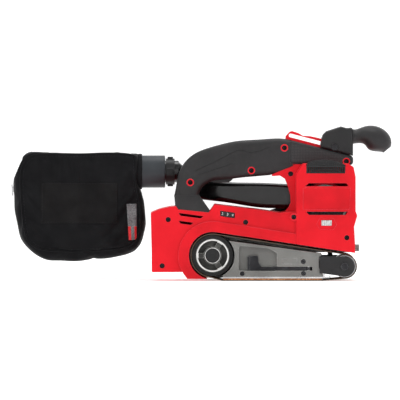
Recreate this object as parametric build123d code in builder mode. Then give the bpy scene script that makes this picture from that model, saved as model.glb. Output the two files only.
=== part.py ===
"""Handheld belt sander, built as separate pieces. Millimetres, +Z up, +X towards the front handle.

The origin is the middle of the sole's lower face. The open side of the belt faces -Y.
"""

import os
from math import cos, radians, sin, tan

from build123d import *

os.makedirs("parts", exist_ok=True)

# ---- Belt path
belt_width = 76.0
belt_thick = 1.0
run_gap = 0.3  # between the still belt and what turns inside it
sole_half = 62.0  # half the flat part of the belt's lower run
drum_r = 25.9
drum_x = -73.7
drum_z = drum_r + 5.3
roller_r = 14.1
roller_x = 89.9
roller_z = roller_r + 3.8
pad_thick = 2.0
shoe_thick = 2.0

# ---- Widths, all tied to the belt
half_belt = belt_width / 2
rim_y = -(half_belt + 3.0)
plate_y = -(half_belt + 2.5)
plate_back_y = -(half_belt - 10.0)
wall_y = half_belt + 2.0  # inner face of the cast wall
wall_thick = 6.0
left_y = wall_y + wall_thick
block_y = -(half_belt + 5.0)
rear_half = half_belt

# ---- Shells
skin = 3.0
guard_low = 2.4  # lowest edge of the red guard above the work
screw_r = 1.5
screw_head_r = 3.0
screw_hole_r = 3.2
thread_gap = 0.05

# ---- Drum drive
shaft_r = 4.0
bearing_r = 11.0
bearing_w = 7.0
drum_pulley_r = 22.5
motor_pulley_r = 7.5
timing_thick = 1.6
timing_w = 9.0
pulley_y = left_y + 3.0

cover_bosses = ((-99.5, 46.7), (-50.0, 9.5), (12.0, 44.5), (75.5, 106.5))

# ---- Motor
motor_x = 66.0
motor_z = 92.0
stator_r = 27.0
stator_half = 20.0
rotor_r = 18.5
bell_thick = 9.0

# ---- Main handle
grip_half = 17.0
rubber = 3.5

# ---- Front handle on its sloped rail
slope = -14.5
rail_half = 8.0
rail_high = 11.4
slot_high = 4.6
clamp_x = 78.0
base_half = 19.0
slide_gap = 0.35

# ---- Dust outlet and bag
port_y = left_y + 6.0
port_z = 134.2
port_x = -118.0
neck_r = 13.8
tube_r = 20.2
bag_y = port_y + 8.0
bag_half = 29.0

# ---- Tension and tracking
fork_half = 8.0
lever_pivot_x = 45.3
lever_pivot_y = plate_y + 4.5
yoke_pivot_x = 61.0
track_y = left_y + 2.5
track_z = 38.9


def side(y):
    """Sketch plane that looks along +Y, at this y; extruding goes towards -Y."""
    return Plane.XZ.offset(-y)


def closed(points):
    """Face between straight edges, inside a sketch."""
    Polygon(*points, align=None)


def slab(points, low, high, mode=Mode.ADD):
    """Straight-edged slab between two y values."""
    with BuildSketch(side(high), mode=Mode.PRIVATE) as outline:
        closed(points)
    extrude(outline.sketch, amount=high - low, mode=mode)


def slab_cut(points, low, high):
    """Straight-edged cut between two y values."""
    slab(points, low, high, Mode.SUBTRACT)


def disc(x, z, r, low, high, mode=Mode.ADD):
    """Cylinder along Y between two y values."""
    with BuildSketch(side(high), mode=Mode.PRIVATE) as round_face:
        with Locations((x, z)):
            Circle(r)
    extrude(round_face.sketch, amount=high - low, mode=mode)


def block(x0, x1, y0, y1, z0, z1, mode=Mode.ADD):
    """Box given by its limits."""
    with Locations(((x0 + x1) / 2, (y0 + y1) / 2, (z0 + z1) / 2)):
        Box(x1 - x0, y1 - y0, z1 - z0, mode=mode)


def save(name, part):
    """Labels one piece and writes it."""
    part.label = name
    export_step(part, f"parts/{name}.step")
    print(name, round(part.volume), len(part.solids()), part.is_valid, flush=True)


def slope_z(x, above=0.0):
    """Height of the sloping top of the motor block at x."""
    return 174.7 + (x - 21.1) * tan(radians(slope)) + above


# ---------------------------------------------------------------- belt loop
def loop_sketch(grow):
    """Belt loop seen from the side: outside of drum, roller and sole, grown by this much."""
    with Locations((drum_x, drum_z)):
        Circle(drum_r + grow)
    with Locations((roller_x, roller_z)):
        Circle(roller_r + grow)
    with Locations((0, belt_thick + run_gap - grow + 4)):
        Rectangle(2 * sole_half, 8)


with BuildSketch() as inner_loop:
    loop_sketch(run_gap)
    make_hull()

inner_face = inner_loop.sketch.faces()[0]
outer_face = offset(inner_face, belt_thick, kind=Kind.ARC, mode=Mode.PRIVATE)

with BuildPart() as sanding_belt:
    with BuildSketch(side(half_belt)):
        add(outer_face)
        add(inner_face, mode=Mode.SUBTRACT)
    extrude(amount=belt_width)
save("sanding_belt", sanding_belt.part)

# ---------------------------------------------------------------- sole
pad_top = belt_thick + pad_thick
shoe_top = pad_top + shoe_thick
with BuildPart() as cork_pad:
    block(-60.5, 61.5, -half_belt + 0.5, half_belt - 0.5, belt_thick, pad_top)
save("cork_pad", cork_pad.part)

with BuildPart() as shoe_plate:
    block(-60.8, 63.0, -half_belt - 0.5, half_belt + 0.5, pad_top, shoe_top)
    with Locations(*[(x, y, shoe_top) for x in (-40, 40) for y in (-20, 20)]):
        CounterSinkHole(2.05, 3.6, depth=shoe_thick + 1)
save("shoe_plate", shoe_plate.part)

with BuildPart() as shoe_clip:
    slab(
        [(63.2, 3.3), (71.5, 3.3), (73.0, 5.2), (71.0, 5.2), (70.2, 4.6), (65.4, 4.6), (65.4, 8.0), (63.2, 8.0)],
        -half_belt + 1,
        -half_belt + 11,
    )
save("shoe_clip", shoe_clip.part)


# ---------------------------------------------------------------- cast base frame
plate_top_left = (drum_x + 21.1, drum_z + 18.3)
frame_outline = [
    (-60.8, shoe_top),
    (50.0, shoe_top),
    (50.0, 34.5),
    plate_top_left,
    (drum_x + 14.0, drum_z + 18.0),
    (drum_x + 11.0, shoe_top + 3.5),
]
top_line_left = (drum_x + 4.4, drum_z + drum_r + 3.2)
top_line_right = (130.0, 30.5)


def below_loop_line(top):
    """Everything under the sloping edge over the belt, raised by this much."""
    closed(
        [
            (drum_x, drum_z),
            (top_line_left[0], top_line_left[1] + top),
            (top_line_right[0], top_line_right[1] + top),
            (130, -30),
            (drum_x - 10.3, -30),
        ]
    )


wall_r = drum_r + 7.1
with BuildPart() as base_frame:
    with BuildSketch(side(left_y)):
        with Locations((drum_x, drum_z)):
            Circle(wall_r)
        with Locations((84, 24)):
            Circle(18)
        with Locations((0, 12)):
            Rectangle(2 * sole_half - 6, 14)
        make_hull()
    extrude(amount=wall_thick)
    slab(frame_outline, plate_back_y, wall_y)
    # room for the drum inside the frame's arm
    disc(drum_x, drum_z, drum_r + 1.5, plate_back_y, wall_y, Mode.SUBTRACT)
    # hollow between the two long walls
    slab_cut(
        [(-40, 9), (-30, 9), (-30, 40), (-38, 42)],
        plate_back_y + 4,
        wall_y - 4,
    )
    block(-24, 44, plate_back_y + 4, wall_y - 4, 29, 33, Mode.SUBTRACT)
    # notch for the yoke's left arm
    slab_cut([(52, -1), (106, -1), (106, 33.5), (52, 33.5)], wall_y - 1, left_y + 1)
    # guide for the tension slide
    block(-26, 51, -fork_half - slide_gap, fork_half + slide_gap, 12.65, 25.35, Mode.SUBTRACT)
    # the cast wall stays above the work
    block(-110, 105, plate_back_y - 1, left_y + 12, -8, guard_low - 0.8, Mode.SUBTRACT)
    # room for the slide's fork when it draws back
    block(48.2, 51, -fork_half - slide_gap, fork_half + slide_gap, 10.65, 27.85, Mode.SUBTRACT)
    # way through for the lever's cam
    block(37, 47, plate_back_y - 1, -fork_half, 13.0, 17.6, Mode.SUBTRACT)
    # carrier for the drum's bearings
    disc(drum_x, drum_z, bearing_r + 3.0, 0, wall_y)
    disc(drum_x, drum_z, shaft_r + 3.0, -1, left_y + 1, Mode.SUBTRACT)
    disc(drum_x, drum_z, bearing_r, -1, bearing_w + 1, Mode.SUBTRACT)
    disc(drum_x, drum_z, bearing_r, left_y - bearing_w - 1, left_y + 1, Mode.SUBTRACT)
    # boss for the tracking screw
    with BuildSketch(Plane.YZ.offset(86)):
        with Locations((track_y, track_z)):
            Circle(5.2)
    extrude(amount=12)
    with BuildSketch(Plane.YZ.offset(60)):
        with Locations((track_y, track_z)):
            Circle(2.05)
    extrude(amount=44, mode=Mode.SUBTRACT)
    # threaded holes for the side plate and the shoe
    for hole_x, hole_z in ((38.7, 23.9), (-37.0, 8.9), (38.9, 9.3)):
        disc(hole_x, hole_z, screw_r + thread_gap, plate_back_y - 1, plate_back_y + 8, Mode.SUBTRACT)
    for hole_x, hole_z in cover_bosses[:3]:
        disc(hole_x, hole_z, screw_r + thread_gap, wall_y - 1, left_y + 1, Mode.SUBTRACT)
save("base_frame", base_frame.part)

# ---------------------------------------------------------------- side plate
recess_floor = plate_y + 7.5
with BuildPart() as side_plate:
    slab(
        [
            (-60.8, 5.1),
            (63.1, 5.1),
            (63.1, 8.1),
            (58.4, 16.1),
            (58.4, 28.1),
            (61.8, 32.2),
            (61.0, 34.2),
            plate_top_left,
            (drum_x + 14, drum_z + 18.0),
            (drum_x + 11.0, 8.3),
        ],
        plate_y,
        plate_back_y,
    )
    chamfer(faces().sort_by(Axis.Y)[0].edges(), 0.7)
    disc(drum_x, drum_z, drum_r + 1.5, plate_y - 1, plate_back_y + 1, Mode.SUBTRACT)
    with BuildSketch(side(recess_floor)):
        closed([(-41.5, 12.3), (6.2, 12.3), (6.2, 34.5), (-4.0, 40.2), (-41.5, 43.6)])
        fillet(vertices(), 3.0)
    extrude(amount=20, mode=Mode.SUBTRACT)
    # groove for the lever's arm and the round seat of its eye
    block(0, lever_pivot_x + 4.7, plate_y - 1, lever_pivot_y + 4.2, 12.6, 17.5, Mode.SUBTRACT)
    with BuildSketch(Plane.XY.offset(9.0)):
        with Locations((lever_pivot_x, lever_pivot_y)):
            Circle(1.98)
    extrude(amount=12.0, mode=Mode.SUBTRACT)
    # way through for the cam
    block(37, 47, plate_y + 4, plate_back_y + 1, 13.0, 17.5, Mode.SUBTRACT)
    for hole_x, hole_z in ((38.7, 23.9), (-37.0, 8.9), (38.9, 9.3)):
        disc(hole_x, hole_z, 3.1, plate_y - 1, plate_y + 4, Mode.SUBTRACT)
        disc(hole_x, hole_z, screw_r + thread_gap, plate_y, plate_back_y + 1, Mode.SUBTRACT)
    # plain raised pad
    block(12.4, 30.8, plate_y - 0.35, plate_y + 0.5, 20.8, 27.9)
save("side_plate", side_plate.part)

with BuildPart() as side_plate_screws:
    for hole_x, hole_z in ((38.7, 23.9), (-37.0, 8.9), (38.9, 9.3)):
        disc(hole_x, hole_z, 2.9, plate_y + 1.4, plate_y + 4)
        disc(hole_x, hole_z, screw_r, plate_y + 4, plate_back_y + 7)
        disc(hole_x, hole_z, 1.2, plate_y, plate_y + 2.6, Mode.SUBTRACT)
save("side_plate_screws", side_plate_screws.part)

# ---------------------------------------------------------------- tension lever and slide
with BuildPart() as lever_pin:
    with BuildSketch(Plane.XY.offset(9.1)):
        with Locations((lever_pivot_x, lever_pivot_y)):
            Circle(1.94)
    extrude(amount=11.8)
save("lever_pin", lever_pin.part)

with BuildPart() as tension_lever:
    block(-13.0, lever_pivot_x, lever_pivot_y - 2.0, lever_pivot_y + 2.0, 13.1, 17.0)
    with BuildSketch(Plane.XY.offset(13.1)):
        with Locations((lever_pivot_x, lever_pivot_y)):
            Circle(3.8)
    extrude(amount=3.9)
    slab(
        [(-12.9, 13.1), (-12.9, 17.0), (-16.5, 22.0), (-17.5, 30.4), (-20, 31.4), (-30.5, 30.2), (-30.5, 13.6), (-28, 12.7)],
        lever_pivot_y - 2.0,
        lever_pivot_y + 0.5,
    )
    # finger lip that curls outwards
    slab([(-30.5, 14.5), (-27.5, 14.0), (-27.5, 30.0), (-30.5, 29.8)], plate_y - 1.5, lever_pivot_y)
    with BuildSketch(Plane.XY.offset(13)):
        with Locations((lever_pivot_x, lever_pivot_y)):
            Circle(2.0)
    extrude(amount=5, mode=Mode.SUBTRACT)
save("tension_lever", tension_lever.part)

with BuildPart() as tension_slide:
    block(4, 56.8, -fork_half, fork_half, 13.0, 25.0)
    block(54.5, 66.0, -fork_half, fork_half, 11.0, 13.3)
    block(54.5, 66.0, -fork_half, fork_half, 24.7, 27.5)
    with BuildSketch(Plane.YZ.offset(3)):
        with Locations((0, 19)):
            Circle(4.6)
    extrude(amount=27, mode=Mode.SUBTRACT)
    with BuildSketch(Plane.XY.offset(11.5)):
        with Locations((yoke_pivot_x, 0)):
            Circle(2.46)
    extrude(amount=15.0)
save("tension_slide", tension_slide.part)

spring_wire = 0.8
with BuildPart() as tension_spring:
    with BuildLine() as coil_line:
        Helix(pitch=4.2, height=46, radius=3.4, center=(-23.5, 0, 19), direction=(1, 0, 0))
    with BuildSketch(Plane(origin=coil_line.line @ 0, z_dir=coil_line.line % 0)):
        Circle(spring_wire)
    sweep()
save("tension_spring", tension_spring.part)

# ---------------------------------------------------------------- tracking yoke and front roller
arm_in = half_belt + 1.5
arm_out = half_belt + 6.0
arm_face = half_belt + 2.85  # the right arm slides over the side plate's face
with BuildPart() as tracking_yoke:
    block(69.7, 74.6, -arm_out, arm_out, 9.6, 28.0)
    block(57.5, 70.5, -fork_half + 1, fork_half - 1, 13.7, 24.3)
    for low, high in ((-arm_out, -arm_face), (arm_in, arm_out)):
        slab([(58.8, 9.6), (58.8, 30.4), (roller_x - 3, roller_z + 12.4), (roller_x - 3, roller_z - 12.2)], low, high)
        disc(roller_x, roller_z, 12.8, low, high)
    # ear that the tracking screw presses, outside the cast wall
    block(70.2, 76.2, arm_out - 1, track_y + 2.6, 26.5, 32.5)
    block(70.2, 76.2, left_y + 0.6, track_y + 2.6, 26.5, track_z + 4)
    with BuildSketch(Plane.XY.offset(8)):
        with Locations((yoke_pivot_x, 0)):
            Circle(2.5)
    extrude(amount=24, mode=Mode.SUBTRACT)
    disc(roller_x, roller_z, shaft_r + 0.02, -arm_out - 1, arm_out + 1, Mode.SUBTRACT)
save("tracking_yoke", tracking_yoke.part)

with BuildPart() as front_axle:
    disc(roller_x, roller_z, shaft_r, -arm_out - 2.5, arm_out - 0.5)
save("front_axle", front_axle.part)

with BuildPart() as axle_nut:
    with BuildSketch(side(-arm_out)):
        with Locations((roller_x, roller_z)):
            RegularPolygon(5.4, 6)
            Circle(shaft_r + 0.02, mode=Mode.SUBTRACT)
    extrude(amount=2.6)
save("axle_nut", axle_nut.part)

roller_half = half_belt - 0.5
with BuildPart() as front_roller:
    disc(roller_x, roller_z, roller_r, -roller_half, roller_half)
    chamfer(edges().filter_by(GeomType.CIRCLE), 0.6)
    disc(roller_x, roller_z, shaft_r + 2.0, -half_belt, half_belt, Mode.SUBTRACT)
    disc(roller_x, roller_z, bearing_r, -half_belt, -roller_half + bearing_w, Mode.SUBTRACT)
    disc(roller_x, roller_z, bearing_r, roller_half - bearing_w, half_belt, Mode.SUBTRACT)
save("front_roller", front_roller.part)


def bearing(x, z, low):
    """Sealed ball bearing seen as its two rings and shields."""
    disc(x, z, bearing_r - 0.02, low, low + bearing_w)
    disc(x, z, bearing_r - 2.4, low - 1, low + 0.5, Mode.SUBTRACT)
    disc(x, z, bearing_r - 2.4, low + bearing_w - 0.5, low + bearing_w + 1, Mode.SUBTRACT)
    disc(x, z, shaft_r + 2.2, low, low + 0.5)
    disc(x, z, shaft_r + 2.2, low + bearing_w - 0.5, low + bearing_w)


with BuildPart() as roller_bearings:
    bearing(roller_x, roller_z, -roller_half)
    bearing(roller_x, roller_z, roller_half - bearing_w)
    disc(roller_x, roller_z, shaft_r + 0.05, -half_belt, half_belt, Mode.SUBTRACT)
save("roller_bearings", roller_bearings.part)

with BuildPart() as tracking_knob:
    with BuildSketch(Plane.YZ.offset(102.9)):
        with Locations((track_y, track_z)):
            Circle(4.4)
            with PolarLocations(4.6, 12):
                Circle(0.55, mode=Mode.SUBTRACT)
    extrude(amount=6.7)
    chamfer(faces().sort_by(Axis.X)[-1].outer_wire().edges(), 0.3)
    with BuildSketch(Plane.YZ.offset(76.8)):
        with Locations((track_y, track_z)):
            Circle(2.0)
    extrude(amount=27)
save("tracking_knob", tracking_knob.part)

# ---------------------------------------------------------------- drum
drum_half = half_belt - 0.5
with BuildPart() as drum_tyre:
    disc(drum_x, drum_z, drum_r, -drum_half, drum_half)
    chamfer(edges().filter_by(GeomType.CIRCLE), 0.8)
    disc(drum_x, drum_z, drum_r - 4.9, -half_belt, half_belt, Mode.SUBTRACT)
save("drum_tyre", drum_tyre.part)

with BuildPart() as drum_hub:
    disc(drum_x, drum_z, drum_r - 4.92, -drum_half + 0.3, drum_half - 0.3)
    disc(drum_x, drum_z, drum_r - 7.5, -half_belt, half_belt, Mode.SUBTRACT)
    disc(drum_x, drum_z, drum_r - 14.9, -half_belt + 1.5, -6)
    with BuildSketch(side(-half_belt + 12)):
        for turn in (60, 180, 300):
            with Locations(Location((drum_x, drum_z), turn)):
                with Locations(((drum_r - 6.9) / 2, 0)):
                    Rectangle(drum_r - 6.9, 6.4)
    extrude(amount=9)
    disc(drum_x, drum_z, drum_r - 7.2, -half_belt + 16, -half_belt + 19)
    disc(drum_x, drum_z, shaft_r + 0.01, -half_belt, 0, Mode.SUBTRACT)
    disc(drum_x, drum_z, 9.0, -half_belt, -half_belt + 4.5, Mode.SUBTRACT)
save("drum_hub", drum_hub.part)

with BuildPart() as hub_cap:
    disc(drum_x, drum_z, 8.9, -half_belt + 2.2, -half_belt + 4.5)
    fillet(faces().sort_by(Axis.Y)[0].edges(), 0.8)
save("hub_cap", hub_cap.part)

with BuildPart() as drum_shaft:
    disc(drum_x, drum_z, shaft_r, -half_belt + 4.6, pulley_y + timing_w + 2)
save("drum_shaft", drum_shaft.part)

with BuildPart() as drive_bearings:
    bearing(drum_x, drum_z, 1.0)
    bearing(drum_x, drum_z, left_y - bearing_w - 0.5)
    disc(drum_x, drum_z, shaft_r + 0.05, -1, left_y + 1, Mode.SUBTRACT)
    bearing(motor_x, motor_z, -stator_half - bell_thick)
    bearing(motor_x, motor_z, stator_half + bell_thick - bearing_w)
    disc(motor_x, motor_z, shaft_r + 0.05, -60, 60, Mode.SUBTRACT)
save("drive_bearings", drive_bearings.part)


def toothed(x, z, r, teeth, low, high):
    """Timing pulley with round tooth spaces."""
    with BuildSketch(side(high), mode=Mode.PRIVATE) as wheel:
        with Locations((x, z)):
            Circle(r)
            with PolarLocations(r, teeth):
                Circle(0.75, mode=Mode.SUBTRACT)
    extrude(wheel.sketch, amount=high - low)


with BuildPart() as drum_pulley:
    toothed(drum_x, drum_z, drum_pulley_r, 48, pulley_y, pulley_y + timing_w + 1)
    for turn in range(5):
        a = radians(72 * turn)
        disc(drum_x + 14 * cos(a), drum_z + 14 * sin(a), 4, pulley_y - 1, pulley_y + 12, Mode.SUBTRACT)
    disc(drum_x, drum_z, shaft_r + 0.01, pulley_y - 1, pulley_y + 12, Mode.SUBTRACT)
save("drum_pulley", drum_pulley.part)

with BuildSketch() as timing_inner:
    with Locations((drum_x, drum_z)):
        Circle(drum_pulley_r + run_gap)
    with Locations((motor_x, motor_z)):
        Circle(motor_pulley_r + run_gap)
    make_hull()
timing_in = timing_inner.sketch.faces()[0]
timing_out = offset(timing_in, timing_thick, kind=Kind.ARC, mode=Mode.PRIVATE)

with BuildPart() as timing_belt:
    with BuildSketch(side(pulley_y + timing_w)):
        add(timing_out)
        add(timing_in, mode=Mode.SUBTRACT)
    extrude(amount=timing_w - 0.5)
save("timing_belt", timing_belt.part)

# ---------------------------------------------------------------- motor
with BuildPart() as stator:
    disc(motor_x, motor_z, stator_r, -stator_half, stator_half)
    disc(motor_x, motor_z, rotor_r + 0.6, -stator_half - 1, stator_half + 1, Mode.SUBTRACT)
    with BuildSketch(side(stator_half)):
        with Locations((motor_x, motor_z)):
            with PolarLocations(rotor_r + 3.6, 6):
                SlotOverall(7, 2.4, rotation=90)
    extrude(amount=2 * stator_half, mode=Mode.SUBTRACT)
save("stator", stator.part)

bell_gap = 0.05
with BuildPart() as end_bells:
    for low in (-stator_half - bell_thick, stator_half):
        disc(motor_x, motor_z, stator_r, low, low + bell_thick)
    disc(motor_x, motor_z, shaft_r + 2, -60, 60, Mode.SUBTRACT)
    disc(motor_x, motor_z, bearing_r, -60, -stator_half - bell_thick + bearing_w, Mode.SUBTRACT)
    disc(motor_x, motor_z, bearing_r, stator_half + bell_thick - bearing_w, 60, Mode.SUBTRACT)
    for turn in range(4):
        a = radians(45 + 90 * turn)
        disc(motor_x + 18.5 * cos(a), motor_z + 18.5 * sin(a), 4, -60, 60, Mode.SUBTRACT)
save("end_bells", end_bells.part)

with BuildPart() as rotor:
    disc(motor_x, motor_z, rotor_r, -stator_half + 2, stator_half - 2)
    disc(motor_x, motor_z, shaft_r + 0.01, -60, 60, Mode.SUBTRACT)
save("rotor", rotor.part)

fan_y = -stator_half - bell_thick - 1.5
with BuildPart() as cooling_fan:
    disc(motor_x, motor_z, 24, fan_y - 1.2, fan_y)
    disc(motor_x, motor_z, 8, fan_y - 5.2, fan_y)
    with BuildSketch(side(fan_y - 1)):
        with Locations((motor_x, motor_z)):
            with PolarLocations(15.5, 14):
                Rectangle(16, 1.2, rotation=25)
    extrude(amount=4)
    disc(motor_x, motor_z, shaft_r + 0.01, -60, 60, Mode.SUBTRACT)
save("cooling_fan", cooling_fan.part)

partition_y = stator_half + bell_thick + 0.5
impeller_y = partition_y + 3.0
with BuildPart() as dust_impeller:
    disc(motor_x, motor_z, 26, impeller_y + 7.0, impeller_y + 8.2)
    disc(motor_x, motor_z, 7.5, impeller_y, impeller_y + 8.2)
    with BuildSketch(side(impeller_y + 7.4)):
        with Locations((motor_x, motor_z)):
            with PolarLocations(16, 9):
                Rectangle(18, 1.6, rotation=35)
    extrude(amount=6.6)
    disc(motor_x, motor_z, shaft_r + 0.01, -60, 80, Mode.SUBTRACT)
save("dust_impeller", dust_impeller.part)

with BuildPart() as motor_shaft:
    toothed(motor_x, motor_z, motor_pulley_r, 16, pulley_y, pulley_y + timing_w + 1)
    disc(motor_x, motor_z, shaft_r, fan_y - 6.0, pulley_y + timing_w + 2)
save("motor_shaft", motor_shaft.part)

# ---------------------------------------------------------------- drive-belt cover
cover_out_y = pulley_y + timing_w + 5.5


def cover_outline(grow):
    """Outline round both pulleys."""
    with Locations((drum_x, drum_z)):
        Circle(drum_pulley_r + timing_thick + grow)
    with Locations((motor_x, motor_z)):
        Circle(motor_pulley_r + timing_thick + grow)


with BuildPart() as drive_cover:
    with BuildSketch(side(cover_out_y)):
        cover_outline(6.0)
        make_hull()
    extrude(amount=cover_out_y - left_y - 0.2)
    fillet(faces().sort_by(Axis.Y)[-1].edges(), 3.5)
    with BuildSketch(side(cover_out_y - 2.5)):
        cover_outline(2.6)
        make_hull()
    extrude(amount=cover_out_y - left_y, mode=Mode.SUBTRACT)
    for boss_x, boss_z in cover_bosses:
        disc(boss_x, boss_z, 4.6, left_y + 0.2, left_y + 8)
        disc(boss_x, boss_z, screw_hole_r, left_y + 4.0, left_y + 9, Mode.SUBTRACT)
        disc(boss_x, boss_z, screw_r + thread_gap, left_y - 1, left_y + 9, Mode.SUBTRACT)
    # shallow stiffening groove on the outer face
    with BuildSketch(side(cover_out_y + 0.1)):
        cover_outline(-3.0)
        make_hull()
        with Locations((drum_x, drum_z)):
            Circle(12, mode=Mode.SUBTRACT)
    extrude(amount=0.9, mode=Mode.SUBTRACT)
save("drive_cover", drive_cover.part)

# ---------------------------------------------------------------- side views of the housing
mid_points = [
    (-112.0, 60.0),
    (-116.5, 88.4),
    (-78.4, 84.6),
    (-71.5, 94.6),
    (-14.9, 87.9),
    (9.9, 84.3),
    (16.1, 85.3),
    (60.0, 85.3),
    (102.0, 60.0),
    (102.0, 20.0),
    (-84.0, 2.4),
    (-100.9, 2.4),
    (-107.6, 11.0),
]
rear_points = [
    (-148.8, 10.5),
    (-150.3, 84.3),
    (-139.0, 88.9),
    (-127.7, 91.5),
    (-119.0, 92.5),
    (-116.0, 88.0),
    (-95.0, 85.0),
    (-95.0, 3.0),
    (-100.9, 2.4),
    (-107.6, 10.8),
]
block_points = [
    (29.5, 30.0),
    (29.5, 132.0),
    (38.0, 145.5),
    (94.0, 145.5),
    (101.0, 141.0),
    (103.5, 128.5),
    (103.5, 86.0),
    (105.6, 80.8),
    (101.6, 67.0),
    (102.9, 44.8),
    (102.9, 30.0),
]
web_points = [
    (0.0, 129.3),
    (9.9, 130.0),
    (16.1, 126.1),
    (20.1, 116.1),
    (22.9, 105.6),
    (23.3, 96.3),
    (21.1, 91.0),
    (16.1, 85.3),
    (9.9, 84.3),
    (9.9, 70.0),
    (40.0, 70.0),
    (40.0, 144.3),
    (31.0, 144.3),
    (0.0, 131.6),
]

grip_top = [
    (-121.6, 104.0),
    (-118.5, 119.7),
    (-113.3, 138.6),
    (-98.2, 155.7),
    (-72.5, 166.2),
    (-42.2, 173.0),
    (-13.6, 174.9),
    (14.0, 175.8),
    (26.0, slope_z(26.0)),
]
grip_under = [
    (-2.5, 130.6),
    (-24.2, 128.7),
    (-39.3, 127.3),
    (-56.4, 125.2),
    (-72.5, 123.6),
    (-83.0, 118.8),
    (-88.7, 112.1),
    (-90.5, 104.0),
]


def shifted(points, inwards):
    """Points moved to the right of the way they run."""
    moved = []
    for here, before, after in zip(points, points[:1] + points[:-1], points[1:] + points[-1:]):
        across = after[0] - before[0]
        up = after[1] - before[1]
        length = (across**2 + up**2) ** 0.5
        moved.append((here[0] + inwards * up / length, here[1] - inwards * across / length))
    return moved


def grip_profile(inwards):
    """Side view of the handle's loop, drawn in by this much."""
    top = shifted(grip_top, inwards)
    under = shifted(grip_under, inwards)
    top[0] = (grip_top[0][0] + inwards, 104.0)
    top[-1] = (26.0, slope_z(26.0, -1.03 * inwards))
    under[-1] = (grip_under[-1][0] - inwards, 104.0)
    with BuildSketch() as profile:
        with BuildLine():
            Spline(*top)
            Line(top[-1], (26.0, 142.3 + 1.08 * inwards))
            Line((26.0, 142.3 + 1.08 * inwards), under[0])
            Spline(*under)
            Line(under[-1], top[0])
        make_face()
    return profile.sketch.faces()[0]


grip_face = grip_profile(0)
core_face = grip_profile(rubber)
hollow_face = grip_profile(rubber + skin)


def rounded_slab(points, corner, edge, low, high, outer):
    """Slab with rounded corners, and rounded edges on its outer face."""
    with BuildPart(mode=Mode.PRIVATE) as shape:
        with BuildSketch(side(high), mode=Mode.PRIVATE) as outline:
            closed(points)
            fillet(vertices(), corner)
        extrude(outline.sketch, amount=high - low)
        faces_in_y = faces().sort_by(Axis.Y)
        fillet(faces_in_y[0 if outer < 0 else -1].edges(), edge)
    return shape.part


screw_deep = 8.0
boss_r = 4.6
# x, z and the y of the outer face at each screw
body_screws = (
    (-128.7, 75.8, -rear_half),
    (-136.2, 18.5, -rear_half),
    (-32.7, 72.5, -half_belt),
    (26.9, 79.0, block_y),
    (23.3, 132.2, -grip_half + 0.6),
    (92.6, 53.5, block_y),
)
grip_screws = (
    (-101.4, 121.6, -grip_half),
    (-25.5, 136.4, -grip_half),
    (15.5, 164.5, -grip_half),
    (92.4, 147.6, -19.0),
)
gap = 0.2

with BuildSketch() as loop_cut:
    with Locations((drum_x, drum_z)):
        Circle(drum_r + 3.5)
    below_loop_line(0)
with BuildSketch() as loop_wall:
    with Locations((drum_x, drum_z)):
        Circle(drum_r + 3.5 + skin)
    below_loop_line(skin)
with BuildSketch() as rim_band:
    with Locations((drum_x, drum_z)):
        Circle(drum_r + 16.6)
    closed([(drum_x, drum_z), (-67.0, drum_z + drum_r + 16.2), (98.5, 47.5), (102.5, 44.0), (102.9, 20)])
with BuildSketch() as wall_pocket:
    with Locations((drum_x, drum_z)):
        Circle(wall_r + gap)
    with Locations((84, 24)):
        Circle(18 + gap)
    with Locations((0, 12)):
        Rectangle(2 * sole_half - 6, 14 + 2 * gap)
    make_hull()

with BuildSketch() as mid_inside:
    closed(mid_points)
with BuildSketch() as block_inside:
    closed(block_points)
with BuildSketch() as rear_inside:
    closed(rear_points)
with BuildSketch() as loop_wall_in:
    closed(mid_points)
    closed(block_points)
    with Locations((drum_x, drum_z)):
        Circle(drum_r + 3.5 + skin, mode=Mode.SUBTRACT)
    with BuildSketch(mode=Mode.PRIVATE) as under_line:
        below_loop_line(skin)
    add(under_line.sketch, mode=Mode.SUBTRACT)
with BuildSketch() as loop_wall_kept:
    closed(mid_points)
    closed(block_points)
    add(loop_wall_in.sketch, mode=Mode.SUBTRACT)
mid_cavity = offset(mid_inside.sketch.faces()[0], -skin, kind=Kind.INTERSECTION, mode=Mode.PRIVATE)
block_cavity = offset(block_inside.sketch.faces()[0], -skin, kind=Kind.INTERSECTION, mode=Mode.PRIVATE)
rear_cavity = offset(rear_inside.sketch.faces()[0], -skin, kind=Kind.INTERSECTION, mode=Mode.PRIVATE)

# straight-walled shapes used by both halves
right_mid = rounded_slab(mid_points, 1.6, 1.4, -half_belt, 0, -1)
right_block = rounded_slab(block_points, 2.2, 2.0, block_y, 0, -1)
right_rear = rounded_slab(rear_points, 1.2, 1.0, -rear_half, 0, -1)
left_mid = rounded_slab(mid_points, 1.6, 1.4, 0, left_y, 1)
left_block = rounded_slab(block_points, 2.2, 2.0, 0, left_y, 1)
left_rear = rounded_slab(rear_points, 1.2, 1.0, 0, rear_half, 1)
web_half = grip_half - 0.6
right_web = rounded_slab(web_points, 0.8, 0.7, -web_half, 0, -1)
left_web = rounded_slab(web_points, 0.8, 0.7, 0, web_half, 1)


def prism(face, low, high, mode=Mode.ADD):
    """Side-view face pushed between two y values."""
    with BuildSketch(side(high), mode=Mode.PRIVATE) as outline:
        add(face)
    extrude(outline.sketch, amount=high - low, mode=mode)


dock_half = 29.0
dock_deep = 8.0
dock_low = 15.5
dock_high = 79.0
dock_back = -149.5 + dock_deep
cap_half = 19.0

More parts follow.
